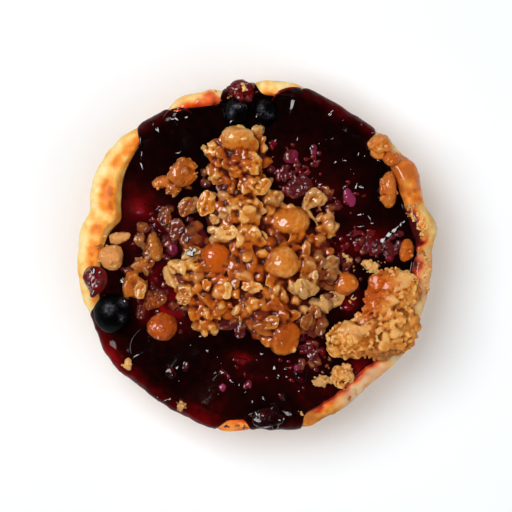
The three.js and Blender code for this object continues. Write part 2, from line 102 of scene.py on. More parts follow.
# The balls, clumps and oats that show on it: x, y, half widths, turn, and then their finish: tone from
# toasted (0) to pale (1), jam stain, and deep orange toast.
HEAP_PIECES = (
    (9.7, 9.3, 5.4, 5.5, 0, 0.55, 0.0, 0.35), (7.2, -1.8, 5.2, 4.8, 0, 0.6, 0.0, 0.3),
    (-11.2, -0.7, 4.5, 4.4, 0, 0.35, 0.0, 1.0), (-20.2, -3.0, 5.3, 3.1, -10, 0.85, 0.1, 0.0),
    (-20.2, -10.2, 3.0, 2.8, 0, 0.6, 0.1, 0.0), (-9.5, -8.9, 2.0, 3.1, 5, 0.6, 0.0, 0.5),
    (-11.0, -15.3, 4.2, 2.6, 20, 0.55, 0.0, 0.4), (-14.5, -19.8, 5.0, 2.4, -15, 0.6, 0.1, 0.2),
    (-2.7, -15.0, 4.8, 3.8, 20, 0.7, 0.1, 0.3), (1.6, -19.8, 4.6, 2.8, -30, 0.6, 0.3, 0.4),
    (8.0, -22.8, 4.4, 5.4, -15, 0.45, 0.05, 0.5), (4.4, -10.5, 3.4, 2.8, 0, 0.6, 0.1, 0.2),
    (13.7, -8.1, 4.6, 4.2, 15, 0.75, 0.35, 0.0), (20.8, -5.2, 4.0, 4.8, 0, 0.6, 0.6, 0.0),
    (25.6, -7.8, 3.4, 3.7, 0, 0.55, 0.0, 0.7), (18.8, -14.0, 3.8, 2.7, -10, 0.95, 0.3, 0.0),
    (-2.4, 5.6, 4.5, 3.3, 30, 0.65, 0.05, 0.2), (-8.5, 5.8, 6.2, 3.0, -8, 0.75, 0.05, 0.2),
    (-1.8, 12.4, 4.4, 4.2, 0, 0.65, 0.1, 0.2), (4.0, 15.4, 3.8, 4.4, -20, 0.65, 0.15, 0.1),
    (-6.4, 14.0, 3.4, 2.2, 20, 0.7, 0.1, 0.1), (-0.9, 19.9, 3.6, 3.0, 0, 0.6, 0.1, 0.2),
    (16.8, 16.0, 3.5, 3.2, 0, 0.65, 0.25, 0.1), (20.2, 9.2, 3.2, 4.1, 10, 0.6, 0.1, 0.4),
    (14.6, 12.6, 4.4, 0.9, -56, 0.8, 0.1, 0.1), (-17.9, 14.3, 3.3, 3.0, 0, 0.55, 0.6, 0.1),
    (-13.2, 14.8, 2.8, 3.6, -12, 0.65, 0.25, 0.1), (-26.0, 11.4, 2.3, 2.3, 0, 0.4, 0.8, 0.0),
    (-22.7, 6.6, 2.0, 3.4, 10, 0.5, 0.4, 0.1), (-5.0, 33.0, 4.8, 3.8, 0, 0.75, 0.0, 0.2),
    (-12.0, 29.6, 3.4, 3.2, 0, 0.7, 0.0, 0.1), (0.2, 35.6, 2.4, 1.8, 40, 0.8, 0.0, 0.0),
    (-11.2, 23.6, 3.0, 3.9, 0, 0.6, 0.1, 0.2), (-5.8, 23.8, 2.4, 2.4, 0, 0.6, 0.1, 0.2),
    (-1.2, 25.6, 3.2, 3.4, 0, 0.7, 0.0, 0.1), (-2.6, 21.6, 2.4, 2.0, 0, 0.6, 0.1, 0.1),
)
PIECE_RISE = 0.15

TOPPING_RISE = 0.4
# Separate toppings, each with its glaze from dry (0) to wet (1) and its lumps: x, y, half widths, half
# height, turn, tone, stain and toast.
CRUMBLE_TOPPINGS = {
    "crumble_chunk_north_west": (1.0, (
        (-20.8, 23.6, 4.5, 4.3, 3.8, 0, 0.5, 0.05, 0.45),
        (-26.2, 20.8, 3.6, 1.9, 1.7, 15, 0.7, 0.0, 0.8),
        (-23.2, 18.6, 2.5, 2.3, 2.0, 0, 0.55, 0.3, 0.3),
    )),
    "crumble_ball_south_west": (0.8, ((-26.6, -20.0, 4.2, 4.4, 3.9, 0, 0.3, 0.12, 0.9),)),
    "crumble_ball_west": (0.7, ((-41.1, -0.4, 3.6, 3.8, 3.2, 0, 0.88, 0.0, 0.45),)),
    "oat_flake_west": (0.6, ((-38.6, 5.2, 3.6, 1.7, 1.2, 12, 0.8, 0.0, 0.3),)),
    "oat_clump_west": (0.8, ((-28.8, 2.4, 2.5, 4.2, 2.2, 12, 0.55, 0.35, 0.1),)),
    "oat_bit_west": (0.8, (
        (-32.9, 4.6, 1.8, 2.0, 1.5, 0, 0.6, 0.5, 0.0),
        (-31.8, 8.0, 2.0, 1.8, 1.5, 0, 0.5, 0.6, 0.0),
    )),
    "crumble_lump_west": (0.6, (
        (-34.2, -8.2, 3.7, 4.4, 2.9, 0, 0.5, 0.15, 0.4),
        (-32.4, -2.6, 2.5, 2.3, 1.8, 0, 0.5, 0.3, 0.2),
        (-29.4, -12.4, 2.7, 2.9, 2.1, 0, 0.35, 0.5, 0.3),
    )),
    "crumble_lump_north_east": (0.7, (
        (34.9, 31.0, 3.7, 3.6, 3.2, 0, 0.65, 0.0, 0.5),
        (38.1, 27.4, 2.4, 2.6, 2.2, 0, 0.55, 0.1, 0.7),
    )),
    "crumble_lump_east": (0.7, ((37.4, 18.9, 2.8, 5.1, 3.0, 0, 0.6, 0.05, 0.6),)),
    "crumble_bit_east": (0.5, ((42.6, 1.6, 2.2, 3.3, 2.2, -10, 0.5, 0.1, 0.7),)),
    "crumb_east": (0.2, ((32.2, -3.0, 2.6, 1.9, 1.5, -20, 0.9, 0.05, 0.0),)),
    "crumble_piece_south_east": (0.2, (
        (24.6, -34.0, 3.1, 3.9, 2.7, 0, 0.7, 0.0, 0.2),
        (18.9, -35.2, 3.2, 1.8, 1.6, 5, 0.9, 0.25, 0.0),
    )),
    "crumb_south_west": (0.0, ((-36.3, -30.5, 1.5, 1.9, 1.3, 0, 1.0, 0.05, 0.0),)),
    "crumb_south": (0.0, ((-21.2, -42.4, 1.5, 1.7, 1.3, 0, 1.0, 0.1, 0.0),)),
}

# The big slab of crumble over the rim: x, y, half widths and half height of its lobes.
SLAB_LOBES = (
    (38.6, -9.8, 8.0, 6.9, 4.6), (26.5, -23.6, 6.8, 5.6, 4.4), (39.0, -19.4, 6.8, 8.8, 4.6),
    (34.2, -21.6, 8.2, 8.2, 5.0), (35.6, -14.6, 5.6, 6.4, 5.0),
)
SLAB_HEIGHT = 2

# Whole berries, sunk in the filling: x, y, z, half widths, half height, seed and unevenness.
BLUEBERRIES = {
    "blueberry_west": (-40.4, -16.2, 26.6, 5.2, 5.8, 5.0, 3, 0.04),
    "blueberry_north_west": (-5.6, 40.8, 25.6, 3.9, 3.9, 3.9, 5, 0.05),
    "blueberry_north_east": (2.4, 40.6, 25.2, 3.6, 3.8, 3.7, 8, 0.05),
}
# Soft berries under the filling's glaze: x, y, half widths, half height and seed.
SOFT_BERRIES = {
    "soft_berry_north": (-3.8, 46.5, 3.7, 3.0, 3.0, 2),
    "soft_berry_west": (-45.4, -6.8, 3.0, 4.7, 2.6, 6),
    "soft_berry_south": (4.1, -45.9, 5.0, 3.2, 2.6, 9),
}
BEAD_RADIUS = 1.15
BEAD_DEPTH = 0.85
GOLDEN_ANGLE = math.degrees(math.pi * (3 - math.sqrt(5)))

# ---- shaping


def smoothstep(low, high, value):
    share = np.clip((value - low) / (high - low), 0, 1)
    return share * share * (3 - 2 * share)


def turn_between(angle, at):
    """The signed turn from one angle to another, between -180 and 180."""
    return (angle - at + 180) % 360 - 180


def bumps(angle, table):
    return sum(size * np.exp(-((turn_between(angle, at) / width) ** 2)) for at, width, size in table)


def along_arc(angle, start, end, fade):
    """1 inside the arc from one angle to another, falling to 0 over `fade` degrees outside it."""
    half = (end - start) / 2
    return 1 - smoothstep(half, half + fade, np.abs(turn_between(angle, start + half)))


def patches(x, y, table):
    """The sum of soft spots, each given as x, y, reach across, reach along and size."""
    return sum(
        size * np.exp(-(((x - px) / reach_x) ** 2) - ((y - py) / reach_y) ** 2)
        for px, py, reach_x, reach_y, size in table
    )


def grain(points, size, seed=0):
    """An even random field from -1 to 1 whose blobs are about `size` millimetres across."""
    scaled = points / size + 7.31 * (seed + 1)
    cell = np.floor(scaled)
    part = scaled - cell
    ease = part * part * (3 - 2 * part)
    total = np.zeros(len(points))
    for corner in itertools.product((0, 1), repeat=3):
        hashed = np.sin((cell + corner) @ (12.9898, 78.233, 37.719) + seed) * 43758.5453
        weight = np.prod(np.where(corner, ease, 1 - ease), axis=1)
        total += weight * (hashed - np.floor(hashed))
    return 2 * total - 1


@functools.cache
def unit_ball(fineness):
    """The corners and faces of an even ball of radius 1: 20 faces at fineness 1, 4 times more each step."""
    shape = bmesh.new()
    bmesh.ops.create_icosphere(shape, subdivisions=fineness, radius=1)
    corners = np.array([corner.co[:] for corner in shape.verts])
    faces = np.array([[corner.index for corner in face.verts] for face in shape.faces])
    shape.free()
    return corners, faces


def lean(turn, tilt):
    """The rotation that tilts about X and then turns about Z, to multiply rows of corners by."""
    turned_after = Matrix.Rotation(math.radians(turn), 3, "Z")
    return np.array(turned_after @ Matrix.Rotation(math.radians(tilt), 3, "X")).T


FLAT_DISTANCE = (0.62, 0.86)  # how far out on a ball of radius 1 a flat lies
FLAT_PRESS = 0.85  # and how far what is past it is pressed back


def lump(centre, half_sizes, turn=0, tilt=0, seed=1, uneven=0.1, fineness=4, flats=0):
    """An uneven ball, swollen and dented the way that the solids are, then tilted, turned and placed.

    Flats are worn or broken sides: what stands out past each is pressed back to it.
    """
    corners, faces = unit_ball(fineness)
    for _ in range(flats):
        side = random.normal(size=3)
        side /= np.linalg.norm(side)
        past = np.maximum(corners @ side - random.uniform(*FLAT_DISTANCE), 0)
        corners = corners - FLAT_PRESS * past[:, None] * side
    x, y, z = corners.T
    wave = (
        np.sin(3.1 * x + 1.7 * seed)
        + np.sin(3.7 * y + 2.3 * seed + 1.9 * z)
        + np.sin(4.3 * z + 0.9 * seed + 2.2 * x)
    )
    shaped = corners * (1 + uneven * wave / 2)[:, None] * half_sizes
    return shaped @ lean(turn, tilt) + centre, faces


def joined(parts):
    """Several (corners, faces, paint) as one, with the paint repeated for every corner."""
    corners = np.concatenate([part[0] for part in parts])
    starts = np.cumsum([0] + [len(part[0]) for part in parts[:-1]])
    faces = np.concatenate([part[1] + start for part, start in zip(parts, starts)])
    paint = np.concatenate([np.tile(part[2], (len(part[0]), 1)) for part in parts])
    return corners, faces, paint


def bare_mesh(corners, faces):
    mesh = bpy.data.meshes.new("shape")
    mesh.from_pydata(corners.tolist(), [], faces.tolist())
    return mesh


def read_corners(mesh):
    corners = np.empty(len(mesh.vertices) * 3)
    mesh.vertices.foreach_get("co", corners)
    return corners.reshape(-1, 3)


def read_normals(mesh):
    normals = np.empty(len(mesh.vertices) * 3)
    mesh.vertex_normals.foreach_get("vector", normals)
    return normals.reshape(-1, 3)


def fused(parts, voxel, rounds):
    """One skin over overlapping lumps, as baking and syrup join them. Each point has the nearest paint."""
    corners, faces, paint = joined(parts)
    shape = bpy.data.objects.new("fusing", bare_mesh(corners, faces))
    bpy.context.collection.objects.link(shape)
    remesh = shape.modifiers.new("skin", "REMESH")
    remesh.mode = "VOXEL"
    remesh.voxel_size = voxel
    soften = shape.modifiers.new("soften", "SMOOTH")
    soften.factor = 0.5
    soften.iterations = rounds
    evaluated = shape.evaluated_get(bpy.context.evaluated_depsgraph_get())
    mesh = bpy.data.meshes.new_from_object(evaluated)
    bpy.data.objects.remove(shape)
    tree = kdtree.KDTree(len(corners))
    for i, corner in enumerate(corners.tolist()):
        tree.insert(corner, i)
    tree.balance()
    nearest = [tree.find(corner)[1] for corner in read_corners(mesh).tolist()]
    return mesh, paint[nearest]


def hollows(mesh, rounds):
    """How far each point lies below the evened-out surface round it, in millimetres: above 0 in crevices."""
    corners = read_corners(mesh)
    edges = np.empty(len(mesh.edges) * 2, dtype=np.int64)
    mesh.edges.foreach_get("vertices", edges)
    edges = edges.reshape(-1, 2)
    here, there = np.concatenate([edges, edges[:, ::-1]]).T
    count = np.maximum(np.bincount(here, minlength=len(corners)), 1)
    evened = corners
    for _ in range(rounds):
        around = [np.bincount(here, weights=axis[there], minlength=len(corners)) for axis in evened.T]
        evened = np.stack(around, axis=1) / count[:, None]
    return ((evened - corners) * read_normals(mesh)).sum(axis=1)


def move_corners(mesh, distance):
    """Moves each corner along its normal."""
    moved = read_corners(mesh) + read_normals(mesh) * distance[:, None]
    mesh.vertices.foreach_set("co", moved.ravel())
    mesh.update()


def finish_piece(name, mesh, material, values, nodes=()):
    """Makes a piece of a mesh in millimetres, with its painted values, and hides the solids that it stands
    for.
    """
    mesh.name = name
    mesh.transform(Matrix.Scale(MM, 4))
    mesh.shade_smooth()
    for value_name, value in values.items():
        layer = mesh.attributes.new(value_name, "FLOAT", "POINT")
        layer.data.foreach_set("value", np.ascontiguousarray(value, dtype=np.float32))
    mesh.materials.append(material)
    piece = bpy.data.objects.new(name, mesh)
    bpy.context.collection.objects.link(piece)
    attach(piece, "root")
    if nodes:
        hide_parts(*nodes)
    return piece


# ---- the wall and the filling's surface


def run_at(angle):
    """The share of a run that each angle has, 0 where the rim is bare, and the run's hang there."""
    share = np.zeros_like(angle)
    hang = np.zeros_like(angle)
    for start, end, reach in RUNS:
        inside = along_arc(angle, start, end, RUN_EDGE)
        hang = np.where(inside > share, reach, hang)
        share = np.maximum(share, inside)
    return share, hang


class Wall:
    """The wall's middle line at each angle, as (radius, height) pairs, and half its thickness."""

    def __init__(self, angle, grow):
        radian = np.radians(angle)
        ripple = 0.25 * np.sin(9 * radian) + 0.18 * np.sin(17 * radian + math.radians(40))
        half = (WALL + bumps(angle, WALL_BUMPS)) / 2
        outside = RIM_RADIUS + bumps(angle, RADIUS_BUMPS) + ripple - RUN_INSET * run_at(angle)[0]
        self.foot = np.stack([np.full_like(angle, BASE_RADIUS), half], axis=1)
        crown_height = RIM_HEIGHT + bumps(angle, HEIGHT_BUMPS)
        self.top = np.stack([outside - half, crown_height - CROWN_FLATNESS * half], axis=1)
        self.length = np.linalg.norm(self.top - self.foot, axis=1)
        self.along = (self.top - self.foot) / self.length[:, None]
        self.outward = np.stack([self.along[:, 1], -self.along[:, 0]], axis=1)
        self.half = half + grow

    def face(self, side, up):
        """A point of the inner (-1) or outer (1) face, a distance up from the foot."""
        return self.foot + self.outward * (side * self.half)[:, None] + self.along * up[:, None]

    def crown(self, share):
        """A point of the top, from the inner face (0) to the outer face (1), and the way out of it."""
        turn = math.pi * share
        aside = self.outward * -np.cos(turn)[:, None]
        rise = np.maximum(np.sin(turn), 0)[:, None]
        out = aside * CROWN_FLATNESS * CROWN_SQUARENESS + self.along * rise ** (2 - CROWN_SQUARENESS)
        out /= np.linalg.norm(out, axis=1)[:, None]
        upward = self.along * CROWN_FLATNESS * rise**CROWN_SQUARENESS
        return self.top + (aside + upward) * self.half[:, None], out

    def up_inner_face(self, height):
        return (height - self.face(-1, 0 * self.half)[:, 1]) / self.along[:, 1]

    def over(self, start, way):
        """The way over the wall: up the inner face from a height, over the top and down the outside."""
        inside = np.maximum(self.length - start, 0)
        top_way = math.pi * self.half
        on_top, out = self.crown(np.clip((way - inside) / top_way, 0, 1))
        on_inner = self.face(-1, start + way)
        on_outer = self.face(1, self.length + inside + top_way - way)
        before = (way < inside)[:, None]
        after = (way >= inside + top_way)[:, None]
        point = np.where(before, on_inner, np.where(after, on_outer, on_top))
        return point, np.where(before, -self.outward, np.where(after, self.outward, out))


def filling_level(x, y):
    return FILLING_LEVEL + patches(x, y, FILLING_SWELLS)


def bands(rings, count):
    """The four corners of each face between rings of the same count of corners."""
    here = np.arange(count)
    ahead = (here + 1) % count
    band = np.stack([here, ahead, count + ahead, count + here], axis=1)
    return np.concatenate([band + ring * count for ring in range(rings - 1)])


def turned(rings, angle):
    """The mesh of a body from its rings of (radius, height) pairs, one pair for each angle."""
    radian = np.radians(angle)
    count = len(angle)
    corners = [
        np.stack([radius * np.cos(radian), radius * np.sin(radian), height], axis=1)
        for radius, height in (ring.T for ring in rings)
    ]
    corners = np.concatenate(corners + [[[0, 0, rings[0][0, 1]], [0, 0, rings[-1][0, 1]]]])
    bottom = len(rings) * count
    last = bottom - count
    fans = [[bottom, (i + 1) % count, i] for i in range(count)]
    fans += [[bottom + 1, last + i, last + (i + 1) % count] for i in range(count)]
    mesh = bpy.data.meshes.new("turned")
    mesh.from_pydata(corners.tolist(), [], bands(len(rings), count).tolist() + fans)
    return mesh


# ---- materials

# The output of a kind of node that is meant, where it isn't the first.
OUTPUTS = {"Mix": 2, "Attribute": 2, "SeparateXYZ": 2}
SHARE, FIRST, SECOND = 0, 6, 7  # input sockets of a colour Mix node


def linear(code):
    """The linear colour of an sRGB hex value."""
    channels = (int(code[i : i + 2], 16) / 255 for i in (1, 3, 5))
    return (*(c / 12.92 if c <= 0.04045 else ((c + 0.055) / 1.055) ** 2.4 for c in channels), 1)


def noise(place, scale, detail, roughness=0.5):
    """The inputs of a noise with `scale` blobs to a metre: 1000 are a millimetre apart."""
    return {"Vector": place, "Scale": scale, "Detail": detail, "Roughness": roughness}


def plug(tree, node, inputs):
    """Sets a node's inputs. Each is a number, an sRGB hex colour or the output of another node."""
    for name, value in inputs.items():
        if isinstance(value, bpy.types.NodeSocket):
            tree.links.new(value, node.inputs[name])
        else:
            node.inputs[name].default_value = linear(value) if isinstance(value, str) else value


def add(tree, kind, inputs=None, stops=None, **settings):
    """Adds a node with its inputs and settings, and gives its output. Stops are the colours of a ramp."""
    made = tree.nodes.new("ShaderNode" + kind)
    for name, value in settings.items():
        setattr(made, name, value)
    plug(tree, made, inputs or {})
    for i, (place, colour) in enumerate(stops or ()):
        stop = made.color_ramp.elements[i] if i < 2 else made.color_ramp.elements.new(place)
        stop.position = place
        stop.color = colour if isinstance(colour, tuple) else linear(colour)
    return made.outputs[OUTPUTS.get(kind, 0)]


def new_material(name, painted=()):
    """A material, its nodes, its surface, the place on it, and then the painted values that it reads."""
    material = bpy.data.materials.new(name)
    material.use_nodes = True
    tree = material.node_tree
    values = [add(tree, "Attribute", attribute_name=value) for value in painted]
    return material, tree, tree.nodes["Principled BSDF"], add(tree, "NewGeometry"), *values


def shortcrust_baked_in_a_tin():
    """Shortcrust: flour, butter and sugar, dull and sandy, pale where the dough is thick, browned on top."""
    material, tree, surface, place, toast, stain, pale, wet, brown_and_shade = new_material(
        "shortcrust baked in a tin", ("toast", "stain", "pale", "wet", "brown_and_shade")
    )
    # Browning comes in cloudy spots 3 to 4 mm across, and flour grain under 1 mm.
    clouds = add(tree, "TexNoise", noise(place, 280, 3, 0.6))
    sand = add(tree, "TexNoise", noise(place, 1500, 4, 0.7))
    mottled = add(tree, "Math", {0: clouds, 1: 0.5, 2: toast}, operation="MULTIPLY_ADD")
    grainy = add(tree, "Math", {0: sand, 1: 0.24, 2: mottled}, operation="MULTIPLY_ADD")
    stops = (0.3, "#ffe9aa"), (0.52, "#ffcf78"), (0.74, "#f99f3c"), (0.9, "#ec7f26"), (1.0, "#cc661c")
    browning = add(tree, "ValToRGB", {"Fac": grainy}, stops)
    # Painted shade on the rim's far sides, with some mottled browning, mixes it towards dull brown.
    browned_and_shaded = add(tree, "Mix", {SHARE: brown_and_shade, FIRST: browning, SECOND: "#94602e"}, data_type="RGBA")
    floury = add(tree, "Mix", {SHARE: pale, FIRST: browned_and_shaded, SECOND: "#cdbb9c"}, data_type="RGBA")
    # A little juice turns it coral, and more of it dark red.
    some = add(tree, "MapRange", {"Value": stain, "From Max": 0.5})
    more = add(tree, "MapRange", {"Value": stain, "From Min": 0.5, "From Max": 0.95})
    coral = {SHARE: some, FIRST: floury, SECOND: "#ee8272"}
    pinked = add(tree, "Mix", coral, data_type="RGBA", blend_type="MULTIPLY")
    soaked = add(tree, "Mix", {SHARE: more, FIRST: pinked, SECOND: "#4e060a"}, data_type="RGBA")
    plug(tree, surface, {
        "Base Color": soaked,
        "Normal": add(tree, "Bump", {"Strength": 0.5, "Distance": 0.0004, "Height": sand}),
        "Coat Weight": wet,
        "Coat Roughness": 0.1,
        "Roughness": 0.6,
        "Specular IOR Level": 0.14,
        "IOR": 1.45,
        "Subsurface Weight": 0.15,
        "Subsurface Radius": (0.0012, 0.0006, 0.0003),
        "Subsurface Scale": 1,
    })
    return material


def set_berry_jam():
    """Berry filling boiled to a jelly: smooth and wet, nearly black where deep and crimson where thin."""
    material, tree, surface, place, thin, gloss = new_material("set berry jam", ("thin", "gloss"))
    # Pulp drifts through the jelly in threads about 2 mm across.
    pulp = add(tree, "TexNoise", noise(place, 420, 4, 0.6))
    clouded = add(tree, "Math", {0: pulp, 1: 0.7, 2: 0.65}, operation="MULTIPLY_ADD")
    haze = add(tree, "MapRange", {"Value": pulp, "From Min": 0.45, "To Max": 0.16})
    depth = add(tree, "Math", {0: thin, 1: clouded, 2: haze}, operation="MULTIPLY_ADD")
    stops = (0.0, "#090101"), (0.2, "#200202"), (0.45, "#430203"), (0.7, "#6a0306"), (1.0, "#960a11")
    # A skin forms as it cools, with wrinkles about 1.5 mm apart that break its glints.
    skin = add(tree, "TexNoise", noise(place, 700, 2, 0.5))
    plug(tree, surface, {
        "Base Color": add(tree, "ValToRGB", {"Fac": depth}, stops),
        "Normal": add(tree, "Bump", {"Strength": 0.25, "Distance": 0.0003, "Height": skin}),
        "Coat Weight": gloss,
        "Coat Roughness": 0.05,
        "Roughness": 0.12,
        "Specular IOR Level": 0.12,
        "IOR": 1.45,
    })
    return material


def oat_crumble_under_syrup():
    """Oat crumble: butter, sugar, flour and oats baked in lumps. Syrup makes it wet and amber and gathers
    dark red in its crevices, which are also darkened as painted shade, with crests a little lighter as
    painted light; where no syrup reached it, it stays dull and sandy."""
    material, tree, surface, place, tone, stain, toast, hollow, wet = new_material(
        "oat crumble under syrup", ("tone", "stain", "toast", "hollow", "wet")
    )
    # Oat and sugar grain about 1 mm across, drawn twice as coarse as flour so that it shows.
    grit = add(tree, "TexNoise", noise(place, 900, 4, 0.65))
    shade = add(tree, "Math", {0: grit, 1: 0.34, 2: tone}, operation="MULTIPLY_ADD")
    # Painted light and shade: crests a little lighter and hollows darker, by how deep each point lies.
    tone_with_painted_shade = add(tree, "Math", {0: hollow, 1: -0.75, 2: shade}, operation="MULTIPLY_ADD")
    stops = (0.15, "#521203"), (0.4, "#8c3604"), (0.62, "#b65d10"), (0.82, "#d0842a"), (1.0, "#eab46c")
    baked = add(tree, "ValToRGB", {"Fac": tone_with_painted_shade}, stops)
    toasted = add(tree, "Mix", {SHARE: toast, FIRST: baked, SECOND: "#c05408"}, data_type="RGBA")
    stained = add(tree, "Mix", {SHARE: stain, FIRST: toasted, SECOND: "#521318"}, data_type="RGBA")
    # Without syrup the sugar and flour on it show.
    dry = add(tree, "MapRange", {"Value": wet, "From Min": 0.35, "From Max": 0, "To Max": 0.32})
    dusted = add(tree, "Mix", {SHARE: dry, FIRST: stained, SECOND: "#dca55c"}, data_type="RGBA")
    # Painted shade in the crevices, partly dark syrup pooled there: the deepest hollows are mixed towards
    # near-black red.
    crevice = add(tree, "MapRange", {"Value": hollow, "From Min": 0.04, "From Max": 0.32})
    shadowed = add(tree, "Mix", {SHARE: wet, FIRST: "#652c0a", SECOND: "#340401"}, data_type="RGBA")
    painted_crevice_shade = add(tree, "Math", {0: crevice, 1: 0.9}, operation="MULTIPLY")
    # The coat of syrup shines less where it is shaded, deep between the lumps.
    open_share = add(tree, "MapRange", {"Value": crevice, "To Min": 1, "To Max": 0.2})
    plug(tree, surface, {
        "Base Color": add(tree, "Mix", {SHARE: painted_crevice_shade, FIRST: dusted, SECOND: shadowed}, data_type="RGBA"),
        "Normal": add(tree, "Bump", {"Strength": 0.45, "Distance": 0.0004, "Height": grit}),
        "Roughness": add(tree, "MapRange", {"Value": wet, "To Min": 0.65, "To Max": 0.45}),
        "Coat Weight": add(tree, "Math", {0: open_share, 1: wet}, operation="MULTIPLY"),
        "Coat Roughness": 0.07,
        "Specular IOR Level": 0.12,
        "IOR": 1.46,
        "Subsurface Weight": 0.25,
        "Subsurface Radius": (0.0016, 0.0006, 0.0002),
        "Subsurface Scale": 1,
    })
    return material


def blueberry_skin_with_bloom():
    """Blueberry skin: blue-black, wet with glaze, with grey wax bloom left in spots."""
    material, tree, surface, place, bloom = new_material("blueberry skin with bloom", ("bloom",))
    # Bloom rubs off in specks about 1 mm across.
    specks = add(tree, "TexNoise", noise(place, 1100, 5, 0.7))
    left = add(tree, "MapRange", {"Value": specks, "From Min": 0.42, "From Max": 0.66})
    cover = add(tree, "Math", {0: left, 1: bloom}, operation="MULTIPLY")
    plug(tree, surface, {
        "Base Color": add(tree, "Mix", {SHARE: cover, FIRST: "#020203", SECOND: "#827e88"}, data_type="RGBA"),
        "Normal": add(tree, "Bump", {"Strength": 0.3, "Distance": 0.0003, "Height": specks}),
        "Roughness": 0.45,
        "Specular IOR Level": 0.03,
        "IOR": 1.45,
        "Coat Weight": 0.05,
        "Coat Roughness": 0.1,
    })
    return material


def berry_flesh_in_syrup():
    """Soft berry flesh soaked in syrup: magenta to purple-brown, wet, with light going a little way in."""
    material, tree, surface, place, tone = new_material("berry flesh in syrup", ("tone",))
    # Cells and seeds about 1 mm across.
    cells = add(tree, "TexNoise", noise(place, 900, 3, 0.6))
    shade = add(tree, "Math", {0: cells, 1: 0.7, 2: tone}, operation="MULTIPLY_ADD")
    dark = (0.1, "#150203"), (0.3, "#3a0408"), (0.45, "#6c0a12")
    bright = (0.62, "#561a16"), (0.8, "#701836"), (1.0, "#862a4e")
    plug(tree, surface, {
        "Base Color": add(tree, "ValToRGB", {"Fac": shade}, dark + bright),
        "Normal": add(tree, "Bump", {"Strength": 0.3, "Distance": 0.0003, "Height": cells}),
        "Roughness": 0.2,
        "Specular IOR Level": 0.2,
        "IOR": 1.42,
        "Coat Weight": 0.5,
        "Coat Roughness": 0.06,
        "Subsurface Weight": 0.25,
        "Subsurface Radius": (0.0018, 0.0003, 0.0004),
        "Subsurface Scale": 1,
    })
    return material


def painted_studio_floor():
    """A matt painted board: even, pale and without gloss, with faint brush marks 25 mm apart."""
    material, tree, surface, place = new_material("painted studio floor")
    brush = add(tree, "TexNoise", noise(place, 40, 2))
    plug(tree, surface, {
        "Base Color": add(tree, "ValToRGB", {"Fac": brush}, ((0.0, "#f5fafe"), (1.0, "#f8fcff"))),
        "Roughness": 0.9,
        "Specular IOR Level": 0,
    })
    return material


pastry_finish = shortcrust_baked_in_a_tin()
jam_finish = set_berry_jam()
crumble_finish = oat_crumble_under_syrup()
blueberry_finish = blueberry_skin_with_bloom()
flesh_finish = berry_flesh_in_syrup()

# ---- pastry case

CASE_ANGLES = 720
CASE_RELIEF = ((5.0, 0.28, 1), (2.2, 0.2, 2), (1.0, 0.12, 3))  # blob size, height and seed of its unevenness
OUTER_SIDE = 43  # beyond this radius the filling hides nothing of the case
# Stretches of the rim: from, to, and the degrees over which each ends.
LEFT_SIDE = (138, 200, 8)
KNOB = (19, 34, 3)
CRUMBLY_KNOB = (1, 15, 3)
CRUMBLY_SIDE = (322, 376, 4)
BROWNED_FOOT = (262, 315, 8)
PALE_TOP = (80, 92, 3)
CLEAN_TOP = (78, 90, 3)
STAINED_TOP = (100, 128, 4)
PINK_SIDES = ((345, 360, 5), (254, 268, 3))
FLOURY_SIDES = ((302, 322, 5), (326, 358, 5))
# These face away from the light: the dull brown put on them is painted shade.
SHADED_SIDES = ((276, 303, 5), (325, 375, 6))
# Where the rings of its mesh are: radii in millimetres, and shares of the way along each face.
UNDERSIDE_RADII = (6, 14, 22, 29, 33, BASE_RADIUS)
FLOOR_RADII = (26, 13, 4)
BEND_SHARES = (0.2, 0.4, 0.6, 0.8)  # of the quarter turn from the underside to the wall
OUTER_SHARES = np.linspace(0.05, 0.97, 18)
CROWN_SHARES = np.linspace(1, 0, 19)
INNER_SHARES = (0.04, 0.08, 0.13, 0.19, 0.26, 0.35, 0.55, 0.8, 1.0)


